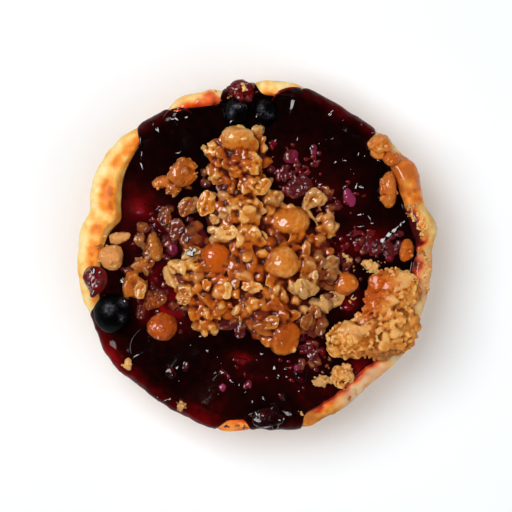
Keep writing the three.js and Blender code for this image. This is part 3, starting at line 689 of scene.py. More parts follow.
def bake_case():
    angle = np.arange(CASE_ANGLES) * 360 / CASE_ANGLES
    wall = Wall(angle, 0)
    none = 0 * angle
    rings = [np.stack([none + radius, none], axis=1) for radius in UNDERSIDE_RADII]
    for bend in BEND_SHARES:
        turn = bend * math.pi / 2
        rings.append(wall.foot + np.outer(wall.half, (math.sin(turn), -math.cos(turn))))
    for share in OUTER_SHARES:
        rings.append(wall.face(1, wall.length * share))
    for share in CROWN_SHARES:
        rings.append(wall.crown(none + share)[0])
    floor_up = wall.up_inner_face(FLOOR)
    for share in INNER_SHARES:
        rings.append(wall.face(-1, wall.length + (floor_up - wall.length) * share))
    for radius in FLOOR_RADII:
        rings.append(np.stack([none + radius, none + FLOOR], axis=1))
    mesh = turned(rings, angle)
    corners = read_corners(mesh)
    x, y, z = corners.T
    radius = np.hypot(x, y)
    turn = np.degrees(np.arctan2(y, x)) % 360
    bare = np.where(radius > OUTER_SIDE, 1, smoothstep(FILLING_LEVEL - 7, FILLING_LEVEL - 2, z))
    relief = sum(height * grain(corners, size, seed) for size, height, seed in CASE_RELIEF)
    relief += 0.22 * np.abs(grain(corners, 1.5, 18)) * along_arc(turn, *CRUMBLY_SIDE)
    move_corners(mesh, relief * smoothstep(0.2, 3, z) * bare)
    outside = np.interp(turn, angle, (wall.top + wall.outward * wall.half[:, None])[:, 0], period=360)
    inward = outside - radius
    left = along_arc(turn, *LEFT_SIDE)
    knob = along_arc(turn, *KNOB)
    # Less toast within about 3 mm of the outer edge and on the left side: partly painted light, as the edge
    # and the left side are lit more.
    toast = 0.12 + 0.36 * smoothstep(1.2, 3.4, inward) * (1 - knob) + 0.48 * knob
    toast -= (0.06 + 0.16 * smoothstep(5.5, 7.5, inward)) * left + 0.14 * along_arc(turn, *PALE_TOP)
    toast += 0.22 * along_arc(turn, *BROWNED_FOOT) * smoothstep(3.5, 1.5, inward)
    toast += 0.2 * grain(corners, 3.2, 7) + 0.14 * grain(corners, 1.3, 14)
    side = smoothstep(RIM_HEIGHT - 2, RIM_HEIGHT - 9, z)
    toast = toast * (1 - side) + side * (0.3 + 0.12 * grain(corners, 7, 5))
    toast = np.where(z < 0.4, 0.42 + 0.15 * grain(corners, 9, 6), toast)
    # Juice has crept over the inner edge of the rim, further in some places than in others.
    reach_in = inward + 1.6 * grain(corners, 3.5, 8) + 0.6 * grain(corners, 1.2, 11)
    smeared = smoothstep(2.2, 4.4, reach_in) * (1 - left) * (1 - knob) * smoothstep(19, 22, z)
    smeared *= 1 - 0.7 * along_arc(turn, *CLEAN_TOP)
    smeared += 0.7 * smoothstep(2.8, 3.6, reach_in) * along_arc(turn, *CRUMBLY_KNOB)
    stain = (0.06 + 0.5 * smoothstep(0.4, 2.3, reach_in)) * along_arc(turn, *STAINED_TOP) * (1 - smeared)
    stain += 0.8 * smeared + smoothstep(6.0, 6.8, inward + 0.5 * grain(corners, 2, 12)) * knob
    stain += 0.16 * along_arc(turn, *PINK_SIDES[0]) + 0.2 * along_arc(turn, *PINK_SIDES[1])
    stain += 0.5 * smoothstep(8.4, 9.6, inward + 0.8 * grain(corners, 2, 9)) * left
    for start, end, _ in RUNS:
        stain += 0.45 * along_arc(turn, start, end, 5) * (0.7 + 0.5 * grain(corners, 1.5, 13))
    stain *= (0.85 + 0.35 * grain(corners, 1.6, 10)) * smoothstep(RIM_HEIGHT - 8.5, RIM_HEIGHT - 4.5, z)
    pale = 0.85 * along_arc(turn, *FLOURY_SIDES[0]) * smoothstep(4.5, 1.5, inward)
    pale += 0.4 * along_arc(turn, *FLOURY_SIDES[1])
    pale *= 0.75 + 0.5 * grain(corners, 2.2, 15)
    # Painted shade on the stretches facing away from the light and on the knob, and mottled browning over the
    # rim, less on the lit left side.
    brown_and_shade = 0.5 * along_arc(turn, *SHADED_SIDES[0]) + 0.35 * along_arc(turn, *SHADED_SIDES[1]) + 0.2 * knob
    brown_and_shade = brown_and_shade * (0.8 + 0.7 * grain(corners, 2.4, 16))
    brown_and_shade += 0.25 * np.maximum(grain(corners, 1.8, 17), 0) * (1 - 0.6 * left)
    wet = 0.8 * knob + 0.06 * left * smoothstep(2, 4, inward) + stain
    values = {
        "toast": np.clip(toast, 0, 1),
        "stain": np.clip(stain, 0, 1),
        "pale": np.clip(pale, 0, 1),
        "brown_and_shade": np.clip(brown_and_shade, 0, 0.8) * (1 - side),
        "wet": np.clip(wet, 0, 1) * (1 - side),
    }
    return finish_piece("baked_case", mesh, pastry_finish, values, ["pastry_case"])


case_piece = bake_case()

# ---- berry filling

FILLING_ANGLES = 576
RUN_STEPS = 22
# Its top's rings, as shares of the way from the middle to the edge: close together near the edge.
TOP_SHARES = np.concatenate([np.linspace(0.993, 0.6, 62), np.linspace(0.58, 0.04, 30)])
# Fruit under the filling's skin: x, y, reach across, reach along, height.
FRUIT_DOMES = (
    (-22.5, -32.5, 4, 3.5, 0.9), (12.6, -33.8, 4.5, 4, 1.0), (-32.2, -25.4, 4.5, 4.5, -0.6),
    (-40.5, -17, 6, 5, 1.05), (-38.5, -27, 3, 3, -0.8), (-8.6, -35.2, 5, 5, 0.8), (4, -33, 4, 4, 0.8),
    (-30, 37, 4, 3, 0.8), (-32, 12, 3, 3, 0.6), (22, 22, 5, 4, 0.9), (28, 14, 4, 4, 0.8),
    (12, 28, 5, 4, 0.6), (25, 36, 5, 3, 0.5), (32, 8, 4, 4, 0.7), (-14, -28, 4, 3, 0.6),
    (-2, -40, 4, 3, 0.7), (40, 12, 3, 3, 0.6), (6, -27, 4, 3, 0.8),
)
# Where its skin is even: x, y, reach across, reach along, amount.
CALM_PLACES = ((-37.5, -22.5, 6.5, 6, 1.3),)
# Where the filling is thin or its red shows: x, y, reach across, reach along, amount.
RED_PLACES = (
    (-35, 13, 8, 10, 0.42), (-33, 14.5, 2.5, 2.5, 0.2), (-28, -4, 9, 11, 0.28), (-20, -16, 7, 5, 0.25),
    (-4.4, -29, 3.4, 1.6, 0.75), (26.5, -13.2, 3.2, 3.6, 0.45), (29.5, -31, 4, 4, 0.5),
    (-44, -8, 3, 5, 0.75), (33, 5, 6, 4, 0.3), (27, 2, 5, 4, 0.2), (-30, -14, 5, 7, 0.4),
    (37, 36, 5, 6, 0.35), (-26, -16, 5, 5, 0.3), (-10, -42, 10, 5, 0.2), (20, -41, 8, 5, 0.35),
)
# Stretches of the edge where it is thin further in: x, y, reach across, reach along, amount.
RED_EDGES = (
    (-41, -28, 6, 7, 0.42), (-17, -46, 7, 6, 0.26), (-33, -37, 8, 6, 0.15), (24, 43, 6, 5, 0.2),
    (38, 34, 5, 5, 0.25), (-38, 33, 6, 6, 0.2),
)
# Where small pulp of fruit and crumb lies in it, and reddens it: x, y, reach across and along, and how many.
PULP = (
    (12, 25, 7, 7.5, 34), (28, 4, 9, 4, 40), (17, 16, 6, 5, 12), (-26, 9, 8, 6.5, 34),
    (15.5, -24, 4, 6, 24), (13, -33, 7, 5, 16), (20, -5, 5, 6, 14), (26, -10, 3, 5, 8),
    (-22, -12, 7, 7, 16), (-3, -33, 9, 4, 8), (26, 18, 5, 5, 8),
)
PULP_REDNESS = 0.22


def set_filling():
    angle = np.arange(FILLING_ANGLES) * 360 / FILLING_ANGLES
    radian = np.radians(angle)
    wall = Wall(angle, 0.05)
    none = 0 * angle

    def level_at(radius):
        return filling_level(radius * np.cos(radian), radius * np.sin(radian))

    start = np.minimum(wall.up_inner_face(level_at(RIM_RADIUS - WALL + none)) - LIP, wall.length)
    share, hang = run_at(angle)
    over_top = wall.length - start + math.pi * wall.half + hang * (1 + 0.25 * np.sin(23 * radian))
    climb = LIP_HEIGHT + (over_top - LIP_HEIGHT) * share
    floor = wall.up_inner_face(FLOOR + GAP)
    rings = [np.stack([none + radius, none + FLOOR + GAP], axis=1) for radius in (10, 22)]
    rings += [wall.face(-1, floor + (start - floor) * part) for part in (0, 0.5, 1)]
    rings += [wall.over(start, climb * part)[0] for part in (0.2, 0.4, 0.6, 0.8, 1)]
    outer = len(rings)
    for step in range(RUN_STEPS, 0, -1):
        part = step / RUN_STEPS
        point, out = wall.over(start, climb * part)
        film = FILM * math.sqrt(1 - 0.97 * part**6)
        thickness = LIP * math.sqrt(1 - 0.9 * part**4) * (1 - share) + film * share
        rings.append(point + out * thickness[:, None])
    shore = rings[-1]
    for part in TOP_SHARES:
        radius = shore[:, 0] * part
        settle = smoothstep(0.76, 1, part)
        height = level_at(radius) * (1 - settle) + shore[:, 1] * settle
        rings.append(np.stack([radius, height], axis=1))
    mesh = turned(rings, angle)
    corners = read_corners(mesh)
    x, y, _ = corners.T
    ring_of = np.minimum(np.arange(len(corners)) // FILLING_ANGLES, len(rings))
    on_top = ring_of >= outer
    radius = np.hypot(x, y)
    turn = np.degrees(np.arctan2(y, x)) % 360
    outside = np.interp(turn, angle, (wall.top + wall.outward * wall.half[:, None])[:, 0], period=360)
    inward = outside - radius
    calm = 1 - np.clip(patches(x, y, CALM_PLACES), 0, 1)
    lift = patches(x, y, FRUIT_DOMES) + calm * (0.22 * grain(corners, 6, 21) + 0.1 * grain(corners, 2.6, 22))
    corners[:, 2] += np.where(on_top, lift * smoothstep(1, 7, inward), 0)
    runny = 0.24 * grain(corners, 2.8, 23) + 0.11 * grain(corners, 1.3, 24)
    mesh.vertices.foreach_set("co", corners.ravel())
    mesh.update()
    move_corners(mesh, np.where(on_top, runny * smoothstep(7, 3, inward), 0))
    uneven = inward + 1.1 * grain(corners, 3.5, 25) + 0.5 * grain(corners, 1.3, 27)
    thin = 0.3 * smoothstep(3.5, -0.4, uneven) + smoothstep(9, 0.5, uneven) * patches(x, y, RED_EDGES)
    pulpy = [(px, py, 1.2 * across, 1.2 * along, PULP_REDNESS) for px, py, across, along, _ in PULP]
    red = patches(x, y, RED_PLACES) + np.minimum(patches(x, y, pulpy), 2 * PULP_REDNESS)
    thin += red * (0.75 + 0.5 * grain(corners, 2.6, 26))
    values = {"thin": np.clip(thin, 0, 1), "gloss": 0.05 + 0.55 * smoothstep(1, 6, inward) * calm}
    return finish_piece("jam_filling", mesh, jam_finish, values, ["berry_filling"])


filling_piece = set_filling()


def tree_of(pieces=None):
    """A tree, to look up heights with, of the given pieces or else of all that are made."""
    corners = []
    faces = []
    for piece in pieces or [thing for thing in bpy.data.objects if thing.type == "MESH"]:
        start = len(corners)
        corners += [tuple(corner.co / MM) for corner in piece.data.vertices]
        faces += [[start + i for i in face.vertices] for face in piece.data.polygons]
    return BVHTree.FromPolygons(corners, faces)


ABOVE_ALL = 99


def height_over(tree, x, y):
    hit = tree.ray_cast(Vector((x, y, ABOVE_ALL)), Vector((0, 0, -1)))[0]
    return hit.z if hit else 0


def within_rim(tree, x, y):
    """The place, or one a little further in where it would be off the tart, and the height there."""
    while height_over(tree, x, y) < RIM_HEIGHT - 7 and math.hypot(x, y) > RIM_RADIUS - 6:
        x, y = 0.99 * x, 0.99 * y
    return x, y, max(height_over(tree, x, y), FILLING_LEVEL - 1.5)


ground = tree_of([case_piece, filling_piece])

# ---- crumble

# Where the heap is toasted deeper, paler, or stained by the filling: x, y, reach across and along, amount.
HEAP_TOAST = ((-10, -5, 9, 9, 0.35), (-2, -21, 10, 6, 0.35), (11, 2, 7, 8, 0.2), (-6, 31, 4, 4, 0.35))
HEAP_PALE = ((-1, 14, 8, 9, 0.15), (14, -9, 7, 7, 0.2), (-20, -3, 5, 4, 0.25), (-4, -12, 6, 5, 0.1))
HEAP_SHADES = (
    (-5, 27, 9, 10, -0.27), (0, -18, 12, 6, -0.3), (0, 4, 12, 8, -0.1), (18, -2, 7, 8, -0.1),
    (-22, -4, 8, 12, -0.2),
)
HEAP_STAIN = (
    (-18, 13, 7, 6, 0.5), (20, -4, 7, 5, 0.75), (16, -19, 6, 5, 0.7), (0, -18, 5, 4, 0.35),
    (-22, 4, 6, 8, 0.5), (7, 18, 5, 6, 0.35), (20, -12, 5, 4, 0.3), (-9, 16, 4, 3, 0.3),
)


def soak(z, level, depth):
    """How much of the filling a crumb has drawn up, falling with its height above it."""
    return np.exp(-np.maximum(z - level, 0) / depth)


def vary(paint, spread=0.14):
    """The paint of one crumb among others."""
    tone, stain, toast = paint
    return (
        tone + random.uniform(-spread, spread),
        stain + random.uniform(-0.12, 0.12) * (stain > 0.02),
        toast * random.uniform(0.3, 1.3),
    )


def crumb_at(place, radius, paint, fineness=3, flat=0.5):
    """A small crumb or broken oat, turned any way."""
    sizes = radius * np.array([1, random.uniform(0.65, 1), random.uniform(flat, 0.95)])
    turn, tilt, seed = random.uniform(0, 360), random.uniform(-40, 40), random.uniform(0, 50)
    corners, faces = lump(place, sizes, turn, tilt, seed, uneven=0.2, fineness=fineness, flats=6)
    return corners, faces, vary(paint)


def oat_at(place, length, turn, tilt, paint):
    """A rolled oat: a thin oval flake, ragged and curled a little, with a faint groove down its middle."""
    corners, faces = unit_ball(4)
    x, y, z = corners.T
    shift = random.uniform(0, 6, 2)
    around = np.arctan2(y, x)
    ragged = 1 + 0.05 * np.sin(3 * around + shift[0]) + 0.04 * np.sin(5 * around + shift[1])
    curl = 0.18 * x**2 - 0.035 * np.exp(-((y / 0.12) ** 2)) * (np.abs(x) < 0.8)
    bent = curl + 0.05 * np.sin(5 * x + 3 * y + shift[0]) + 0.04 * np.sin(9 * y + shift[1])
    flake = np.stack([x * ragged, 0.72 * y * ragged, 0.16 * z + bent], axis=1) * length / 2
    return flake @ lean(turn, tilt) + place, faces, vary(paint, 0.1)


def over_lump(body, share):
    """A random place on the upper side of a lump, at a share of its half sizes, and how high it is there."""
    (x, y, z), (rx, ry, rz), turn, _ = body
    lift = random.uniform(0, 1)
    around = random.uniform(0, 2 * math.pi)
    out = math.sqrt(1 - lift * lift)
    across = rx * out * math.cos(around) * share
    along = ry * out * math.sin(around) * share
    spin = math.radians(turn)
    return (
        x + across * math.cos(spin) - along * math.sin(spin),
        y + across * math.sin(spin) + along * math.cos(spin),
        z + rz * lift * share,
    )


def clump(body, chunk, chunks, grit, grits, seed, core=0.86, uneven=0.12, flats=5):
    """A lump baked together from chunks, with grit on it. Each has a size range, and so many a square mm."""
    centre, half_sizes, turn, paint = body
    area = half_sizes[0] * half_sizes[1]
    inside = np.array(half_sizes) * core
    parts = [(*lump(centre, inside, turn, seed=seed, uneven=uneven, flats=flats), tuple(paint))]
    for _ in range(round(area * chunks)):
        size = min(random.uniform(*chunk), 0.6 * min(half_sizes[:2]))
        parts.append(crumb_at(over_lump(body, 1 - 0.75 * size / max(half_sizes[:2])), size, paint))
    for _ in range(round(area * grits)):
        parts.append(crumb_at(over_lump(body, 0.95), random.uniform(*grit), paint, fineness=2))
    return parts


def crumble_piece(name, parts, voxel, glaze, nodes, relief=0.06, tones=(), toasts=()):
    """A piece of crumble fused from its parts. The glaze is from dry (0) to wet (1), all over or by place.
    Tones and toasts are patches that are added."""
    mesh, paint = fused(parts, voxel, 1)
    corners = read_corners(mesh)
    move_corners(mesh, relief * sum(grain(corners, size, 31 + i) for i, size in enumerate((0.55, 0.9, 1.7))))
    x, y, z = read_corners(mesh).T
    tone, stain, toast = paint.T
    soaked = soak(z, filling_level(x, y), 0.7)
    wet = glaze(x, y) if callable(glaze) else glaze
    smears = 0.3 * smoothstep(0.25, 0.7, grain(read_corners(mesh), 2.8, 33)) * wet
    tone = tone + patches(x, y, tones)
    toast = toast + patches(x, y, toasts)
    values = {
        "tone": np.clip(tone, -0.2, 1.2),
        "stain": np.clip(stain + smears + 0.9 * soaked, 0, 1),
        "toast": np.clip(toast, 0, 1),
        # How deep each point lies in a hollow: the crumble material paints shade into the hollows with it.
        "hollow": np.maximum(hollows(mesh, 20), 0.6 * hollows(mesh, 110)),
        "wet": np.clip(np.maximum(wet, soaked), 0, 1),
    }
    return finish_piece(name, mesh, crumble_finish, values, nodes)


for topping, (glaze, lobes) in CRUMBLE_TOPPINGS.items():
    parts = []
    for i, (x, y, rx, ry, rz, turn, *paint) in enumerate(lobes):
        body = ((x, y, height_over(ground, x, y) + TOPPING_RISE * rz), (rx, ry, rz), turn, paint)
        if glaze > 0.25:
            chunks, flats = (0.35, 4) if len(lobes) > 1 and min(rx, ry) > 2 else (0.06, 1)
            parts += clump(body, (1.0, 1.9), chunks, (0.35, 0.7), 0.5, seed=x + i, core=0.94, flats=flats)
        else:
            chunk, chunks = ((0.7, 1.3), 0.9) if min(rx, ry) > 2 else ((0.35, 0.7), 2.5)
            parts += clump(body, chunk, chunks, (0.3, 0.6), 2.5, seed=x + i, uneven=0.2)
    crumble_piece(topping + "_baked", parts, VOXELS["topping"], glaze, [topping], relief=0.1)

# The slab over the rim at the lower right: glazed towards the filling, dry and sandy on the far side.
SLAB_GLAZE = ((36, -7, 7.5, 5, 1.0), (32.5, -13, 4.5, 7, 1.1), (27, -20.5, 6, 5, 1.0))
SLAB_WETNESS = 0.6
FINE_GRAINS = 110  # on each lobe of it
SLAB_TONES = (
    (27.5, -21.8, 4, 3.2, 0.3), (42, -5.5, 3.5, 3.5, 0.3), (48, -14, 3, 12, -0.5), (39, -29, 9, 4, -0.45),
    (31, -14, 2.6, 5, -0.1), (37.5, -14, 4, 4, 0.12),
)
SLAB_TOAST = (
    (35, -8, 5, 4, 0.9), (32, -13, 3.5, 6, 0.9), (46.5, -16, 3, 10, 0.08), (27.5, -21.8, 4, 3, 0.15),
)

# Smooth blocks on it: the middle, half sizes, turn, and tone, stain and toast.
SLAB_BLOCKS = (
    ((27.3, -21.6, 28.9), (4.6, 3.5, 2.3), 10, (0.62, 0.0, 0.1)),
    ((34.6, -7.6, 28.4), (3.0, 2.4, 2.0), 5, (0.4, 0.0, 0.6)),
    ((38.6, -12.4, 29.9), (2.6, 2.4, 1.6), 30, (0.6, 0.0, 0.0)),
    ((22.4, -26.4, 27.8), (2.8, 2.4, 1.8), 20, (0.6, 0.0, 0.1)),
)


def slab_glaze(x, y):
    return SLAB_WETNESS * np.clip(patches(x, y, SLAB_GLAZE), 0, 1)


parts = []
for i, (x, y, rx, ry, rz) in enumerate(SLAB_LOBES):
    body = ((x, y, FILLING_LEVEL + SLAB_HEIGHT), (rx, ry, rz), 0, (0.6, 0.0, 0.05))
    coarse = clump(body, (0.9, 2.3), 0.6, (0.5, 0.95), 1.3, seed=i + 4, core=0.9, uneven=0.07, flats=0)
    fine = [
        crumb_at(over_lump(body, 0.96), random.uniform(0.28, 0.5), body[3], fineness=2)
        for _ in range(FINE_GRAINS)
    ]
    parts.append(coarse[0])
    for corners, faces, paint in coarse[1:] + fine:
        if random.random() > slab_glaze(*corners[0][:2]) / SLAB_WETNESS * 0.65:
            parts.append((corners, faces, vary(paint, 0.2)))
for place, half_sizes, turn, paint in SLAB_BLOCKS:
    corners, faces = lump(place, half_sizes, turn, seed=turn, uneven=0.12, fineness=5, flats=7)
    parts.append((corners, faces, paint))
crumble_piece(
    "slab_baked", parts, VOXELS["slab"], slab_glaze, ["crumble_slab"], tones=SLAB_TONES, toasts=SLAB_TOAST
)

# The heap in the middle: mounds, the pieces that show, and crumbs and oats in the spaces that are left.
MOUND_PAINT = (0.05, 0.6, 0.3)
MOUND_SHRINK = 0.9
BALLS = (0, 1, 2, 10, 14, 29)  # of the heap's pieces, the smooth round ones
SANDY_FROM = 18  # the upper cluster, beyond this y, is sandier
parts = []
for i, (x, y, rx, ry, height) in enumerate(MOUNDS):
    half_sizes = (rx * MOUND_SHRINK, ry * MOUND_SHRINK, height + MOUND_ROOT)
    mound = lump((x, y, FILLING_LEVEL - MOUND_ROOT), half_sizes, seed=i + 1, uneven=0.04, fineness=5)
    parts.append((*mound, MOUND_PAINT))
mound_corners, mound_faces, _ = joined(parts)
mounds = BVHTree.FromPolygons(mound_corners.tolist(), mound_faces.tolist())


def heap_paint(x, y):
    """The paint of the small crumbs at a place of the heap."""
    tone = random.uniform(0.22, 0.62) + patches(x, y, HEAP_PALE)
    stain = max(random.uniform(-0.3, 0.25), 0) + patches(x, y, HEAP_STAIN)
    toast = random.uniform(0, 0.4) + patches(x, y, HEAP_TOAST)
    return tone, stain, toast


for i, (x, y, rx, ry, turn, *paint) in enumerate(HEAP_PIECES):
    rz = 0.8 * max(min(rx, ry), 1.6)
    z = max(height_over(mounds, x, y), FILLING_LEVEL) + PIECE_RISE * rz
    body = ((x, y, z), (rx, ry, rz), turn, paint)
    if i in BALLS:
        parts += clump(body, (1.2, 2.2), 0.12, (0.4, 0.8), 0.15, seed=i + 3, core=0.98, uneven=0.1, flats=0)
    elif y > SANDY_FROM:
        parts += clump(body, (0.8, 1.6), 0.8, (0.35, 0.7), 2.4, seed=i + 3, core=0.82, flats=6)
    else:
        parts += clump(body, (1.3, 2.6), 0.4, (0.4, 0.8), 0.3, seed=i + 3, core=0.85, flats=6)
HEAP_FIELD = (-3, 2, 31, 36)  # middle, and reach across and along, of what is strewn over the heap
STREWN = 430
OAT_EVERY = 4  # of what is strewn, one in so many is an oat
for i in range(STREWN):
    share = math.sqrt((i + 0.5) / STREWN)
    spin = math.radians(GOLDEN_ANGLE * i)
    x = HEAP_FIELD[0] + HEAP_FIELD[2] * share * math.cos(spin) + random.uniform(-0.8, 0.8)
    y = HEAP_FIELD[1] + HEAP_FIELD[3] * share * math.sin(spin) + random.uniform(-0.8, 0.8)
    z = height_over(mounds, x, y)
    if z < FILLING_LEVEL - 0.3:
        continue
    paint = heap_paint(x, y)
    if i % OAT_EVERY:
        parts.append(crumb_at((x, y, z + random.uniform(-0.4, 0.5)), random.uniform(1.2, 2.6), paint))
    else:
        length, turn, tilt = random.uniform(3.6, 5.2), random.uniform(0, 360), random.uniform(-20, 20)
        parts.append(oat_at((x, y, z + 0.9), length, turn, tilt, paint))
crumble_piece("heap_baked", parts, VOXELS["heap"], 1.0, ["crumble_heap"], relief=0.08, tones=HEAP_SHADES)

# ---- berries


def wrinkle(corners, centre, count, depth, seed):
    """Folds that run down a berry's skin as it softens in the heat."""
    x, y, _ = (corners - centre).T
    around = np.arctan2(y, x)
    fold = np.sin(count * around + 2.2 * grain(corners, 4, seed))
    soft = 0.5 + 0.5 * grain(corners, 3, seed + 2)
    return -depth * soft * np.maximum(fold, 0) ** 2 + 0.6 * depth * grain(corners, 1.6, seed + 1)


# How wrinkled each is, and where its bloom is left: x, y, reach across, reach along, amount, from its middle.
SKINS = {
    "blueberry_west": (
        0.12, ((-0.9, 1.6, 1.3, 1.1, 0.7), (3.2, 3.2, 1.0, 0.8, 0.8), (2.6, -1.2, 0.8, 0.9, 0.4)),
    ),
    "blueberry_north_west": (0.4, ((0.6, 1.4, 1.6, 0.8, 0.6), (-1.6, -0.4, 0.8, 1.4, 0.45))),
    "blueberry_north_east": (0.4, ((-0.9, 1.0, 0.8, 1.2, 0.6), (1.2, -0.9, 1.2, 0.7, 0.45))),
}
for name, (x, y, z, rx, ry, rz, seed, uneven) in BLUEBERRIES.items():
    centre = np.array((x, y, z))
    corners, faces = lump(centre, (rx, ry, rz), seed=seed, uneven=uneven, fineness=5)
    mesh = bare_mesh(corners, faces)
    depth, spots = SKINS[name]
    move_corners(mesh, wrinkle(corners, centre, 6, depth, seed))
    px, py, pz = (read_corners(mesh) - centre).T
    values = {"bloom": np.clip(patches(px, py, spots) * smoothstep(0, 1, pz), 0, 1)}
    finish_piece(name + "_skin", mesh, blueberry_finish, values, [name])

# How red each soft berry is, and how many of its beads still show.
SOFTNESS = {"soft_berry_north": (0.2, 5), "soft_berry_west": (0.3, 3), "soft_berry_south": (-0.1, 3)}
for name, (x, y, rx, ry, rz, seed) in SOFT_BERRIES.items():
    red, beads = SOFTNESS[name]
    z = height_over(ground, x, y) + TOPPING_RISE * rz
    body, faces = lump((x, y, z), (rx, ry, rz), seed=seed, uneven=0.16, fineness=5, flats=5)
    parts = [(body, faces, (red,))]
    for i in range(beads):
        lift = 1 - (i + 0.5) / beads
        reach = math.sqrt(1 - lift**2) * BEAD_DEPTH
        turn = math.radians(GOLDEN_ANGLE * i + math.degrees(seed))
        centre = (
            x + rx * reach * math.cos(turn),
            y + ry * reach * math.sin(turn),
            z + rz * lift * BEAD_DEPTH,
        )
        size = BEAD_RADIUS * random.uniform(0.6, 1.3)
        bead, bead_faces = lump(centre, (size, size, size), seed=i, uneven=0.2, fineness=3, flats=3)
        parts.append((bead, bead_faces, (red + random.uniform(-0.1, 0.25),)))
    mesh, paint = fused(parts, VOXELS["berry"], 3)
    corners = read_corners(mesh)
    move_corners(mesh, 0.14 * grain(corners, 0.8, 37) + 0.12 * grain(corners, 1.5, 38))
    values = {"tone": paint[:, 0] - 0.15}
    finish_piece(name + "_flesh", mesh, flesh_finish, values, [name])

# ---- what lies in the jam's skin, and loose oats

PIXELS = 512
MM_A_PIXEL = 0.2825  # at the height of the rim, from the photo
MIDDLE = (255.5, 255.5)


def from_photo(across, down):
    """A place in the tart's frame from its place in the photo, in pixels from the top left."""
    return (across - MIDDLE[0]) * MM_A_PIXEL, (MIDDLE[1] - down) * MM_A_PIXEL


SCATTER = 0.6  # how closely scattered bits keep to the middle of where they lie


def scattered(x, y, reach_x, reach_y):
    """A random place about a middle, within a reach across and along."""
    return x + reach_x * random.normal(0, SCATTER), y + reach_y * random.normal(0, SCATTER)


INNER_RADIUS = RIM_RADIUS - 8  # nothing is scattered beyond it
# Broad oats that lie about, soaked to purple in the jam and golden on the heap: place in the photo, length in
# its pixels, turn, tone and stain.
LOOSE_OATS = (
    (206, 203, 27, 75, 0.66, 0.05), (186, 206, 22, 60, 0.5, 0.5), (164, 216, 20, 80, 0.4, 0.75),
    (172, 246, 18, 100, 0.4, 0.7), (176, 228, 22, 75, 0.35, 0.85), (190, 256, 20, 20, 0.95, 0.15),
    (173, 275, 28, 110, 0.95, 0.1), (148, 262, 18, 60, 0.5, 0.5), (140, 290, 18, 80, 0.6, 0.2),
    (312, 198, 24, 55, 0.6, 0.45), (296, 192, 18, 20, 0.5, 0.5), (285, 172, 18, 80, 0.4, 0.65),
    (330, 262, 20, 30, 0.65, 0.45), (347, 262, 16, 70, 0.6, 0.5), (300, 284, 17, 30, 0.85, 0.1),
    (312, 274, 17, 75, 0.8, 0.1), (332, 299, 26, 25, 0.95, 0.1), (306, 321, 18, 60, 0.55, 0.55),
    (319, 328, 16, 100, 0.6, 0.55), (228, 322, 22, 30, 0.5, 0.45), (240, 330, 18, 80, 0.5, 0.5),
    (226, 232, 24, 10, 0.75, 0.0), (226, 290, 18, 85, 0.7, 0.0), (262, 186, 20, 50, 0.65, 0.1),
    (158, 300, 18, 30, 0.4, 0.6), (140, 312, 16, 80, 0.4, 0.5), (185, 297, 17, 60, 0.65, 0.05),
    (270, 322, 20, 20, 0.5, 0.2), (222, 186, 18, 70, 0.55, 0.3), (368, 246, 16, 60, 0.5, 0.7),
    (392, 250, 16, 30, 0.5, 0.65),
)
# Crumbs soaked through, half sunk round the heap: x, y, reach across and along, how many, tone and stain.
SOAKED = (
    (-29, -5, 8, 11, 46, 0.45, 0.55), (-23, 8, 8, 6, 26, 0.35, 0.75), (-22, -14, 7, 5, 18, 0.4, 0.5),
    (23, -6, 7, 8, 34, 0.5, 0.55), (13, 22, 7, 7, 20, 0.3, 0.85), (14, -25, 5, 7, 22, 0.45, 0.65),
    (36, 3, 7, 4, 22, 0.4, 0.7), (20, 12, 5, 8, 14, 0.4, 0.6), (-14, 20, 5, 4, 8, 0.4, 0.5),
)
heaped = tree_of()
parts = []
for across, down, length, turn, tone, stain in LOOSE_OATS:
    x, y = from_photo(across, down)
    place = (x, y, height_over(heaped, x, y) - 0.1)
    tilt = random.uniform(-14, 14)
    parts.append(oat_at(place, length * MM_A_PIXEL, turn, tilt, (tone, stain, 0.1)))
for *where, count, tone, stain in SOAKED:
    for _ in range(count):
        x, y = scattered(*where)
        z = height_over(heaped, x, y)
        if math.hypot(x, y) < INNER_RADIUS and z < FILLING_LEVEL + 1.4:
            parts.append(crumb_at((x, y, z - 0.2), random.uniform(0.7, 1.8), (tone, stain, 0.1)))
DARKER_OATS = ((-24, 0, 9, 14, -0.1),)  # x, y, reach across and along, and how much darker
crumble_piece("loose_oats", parts, VOXELS["oats"], 0.9, [], relief=0.1, tones=DARKER_OATS)

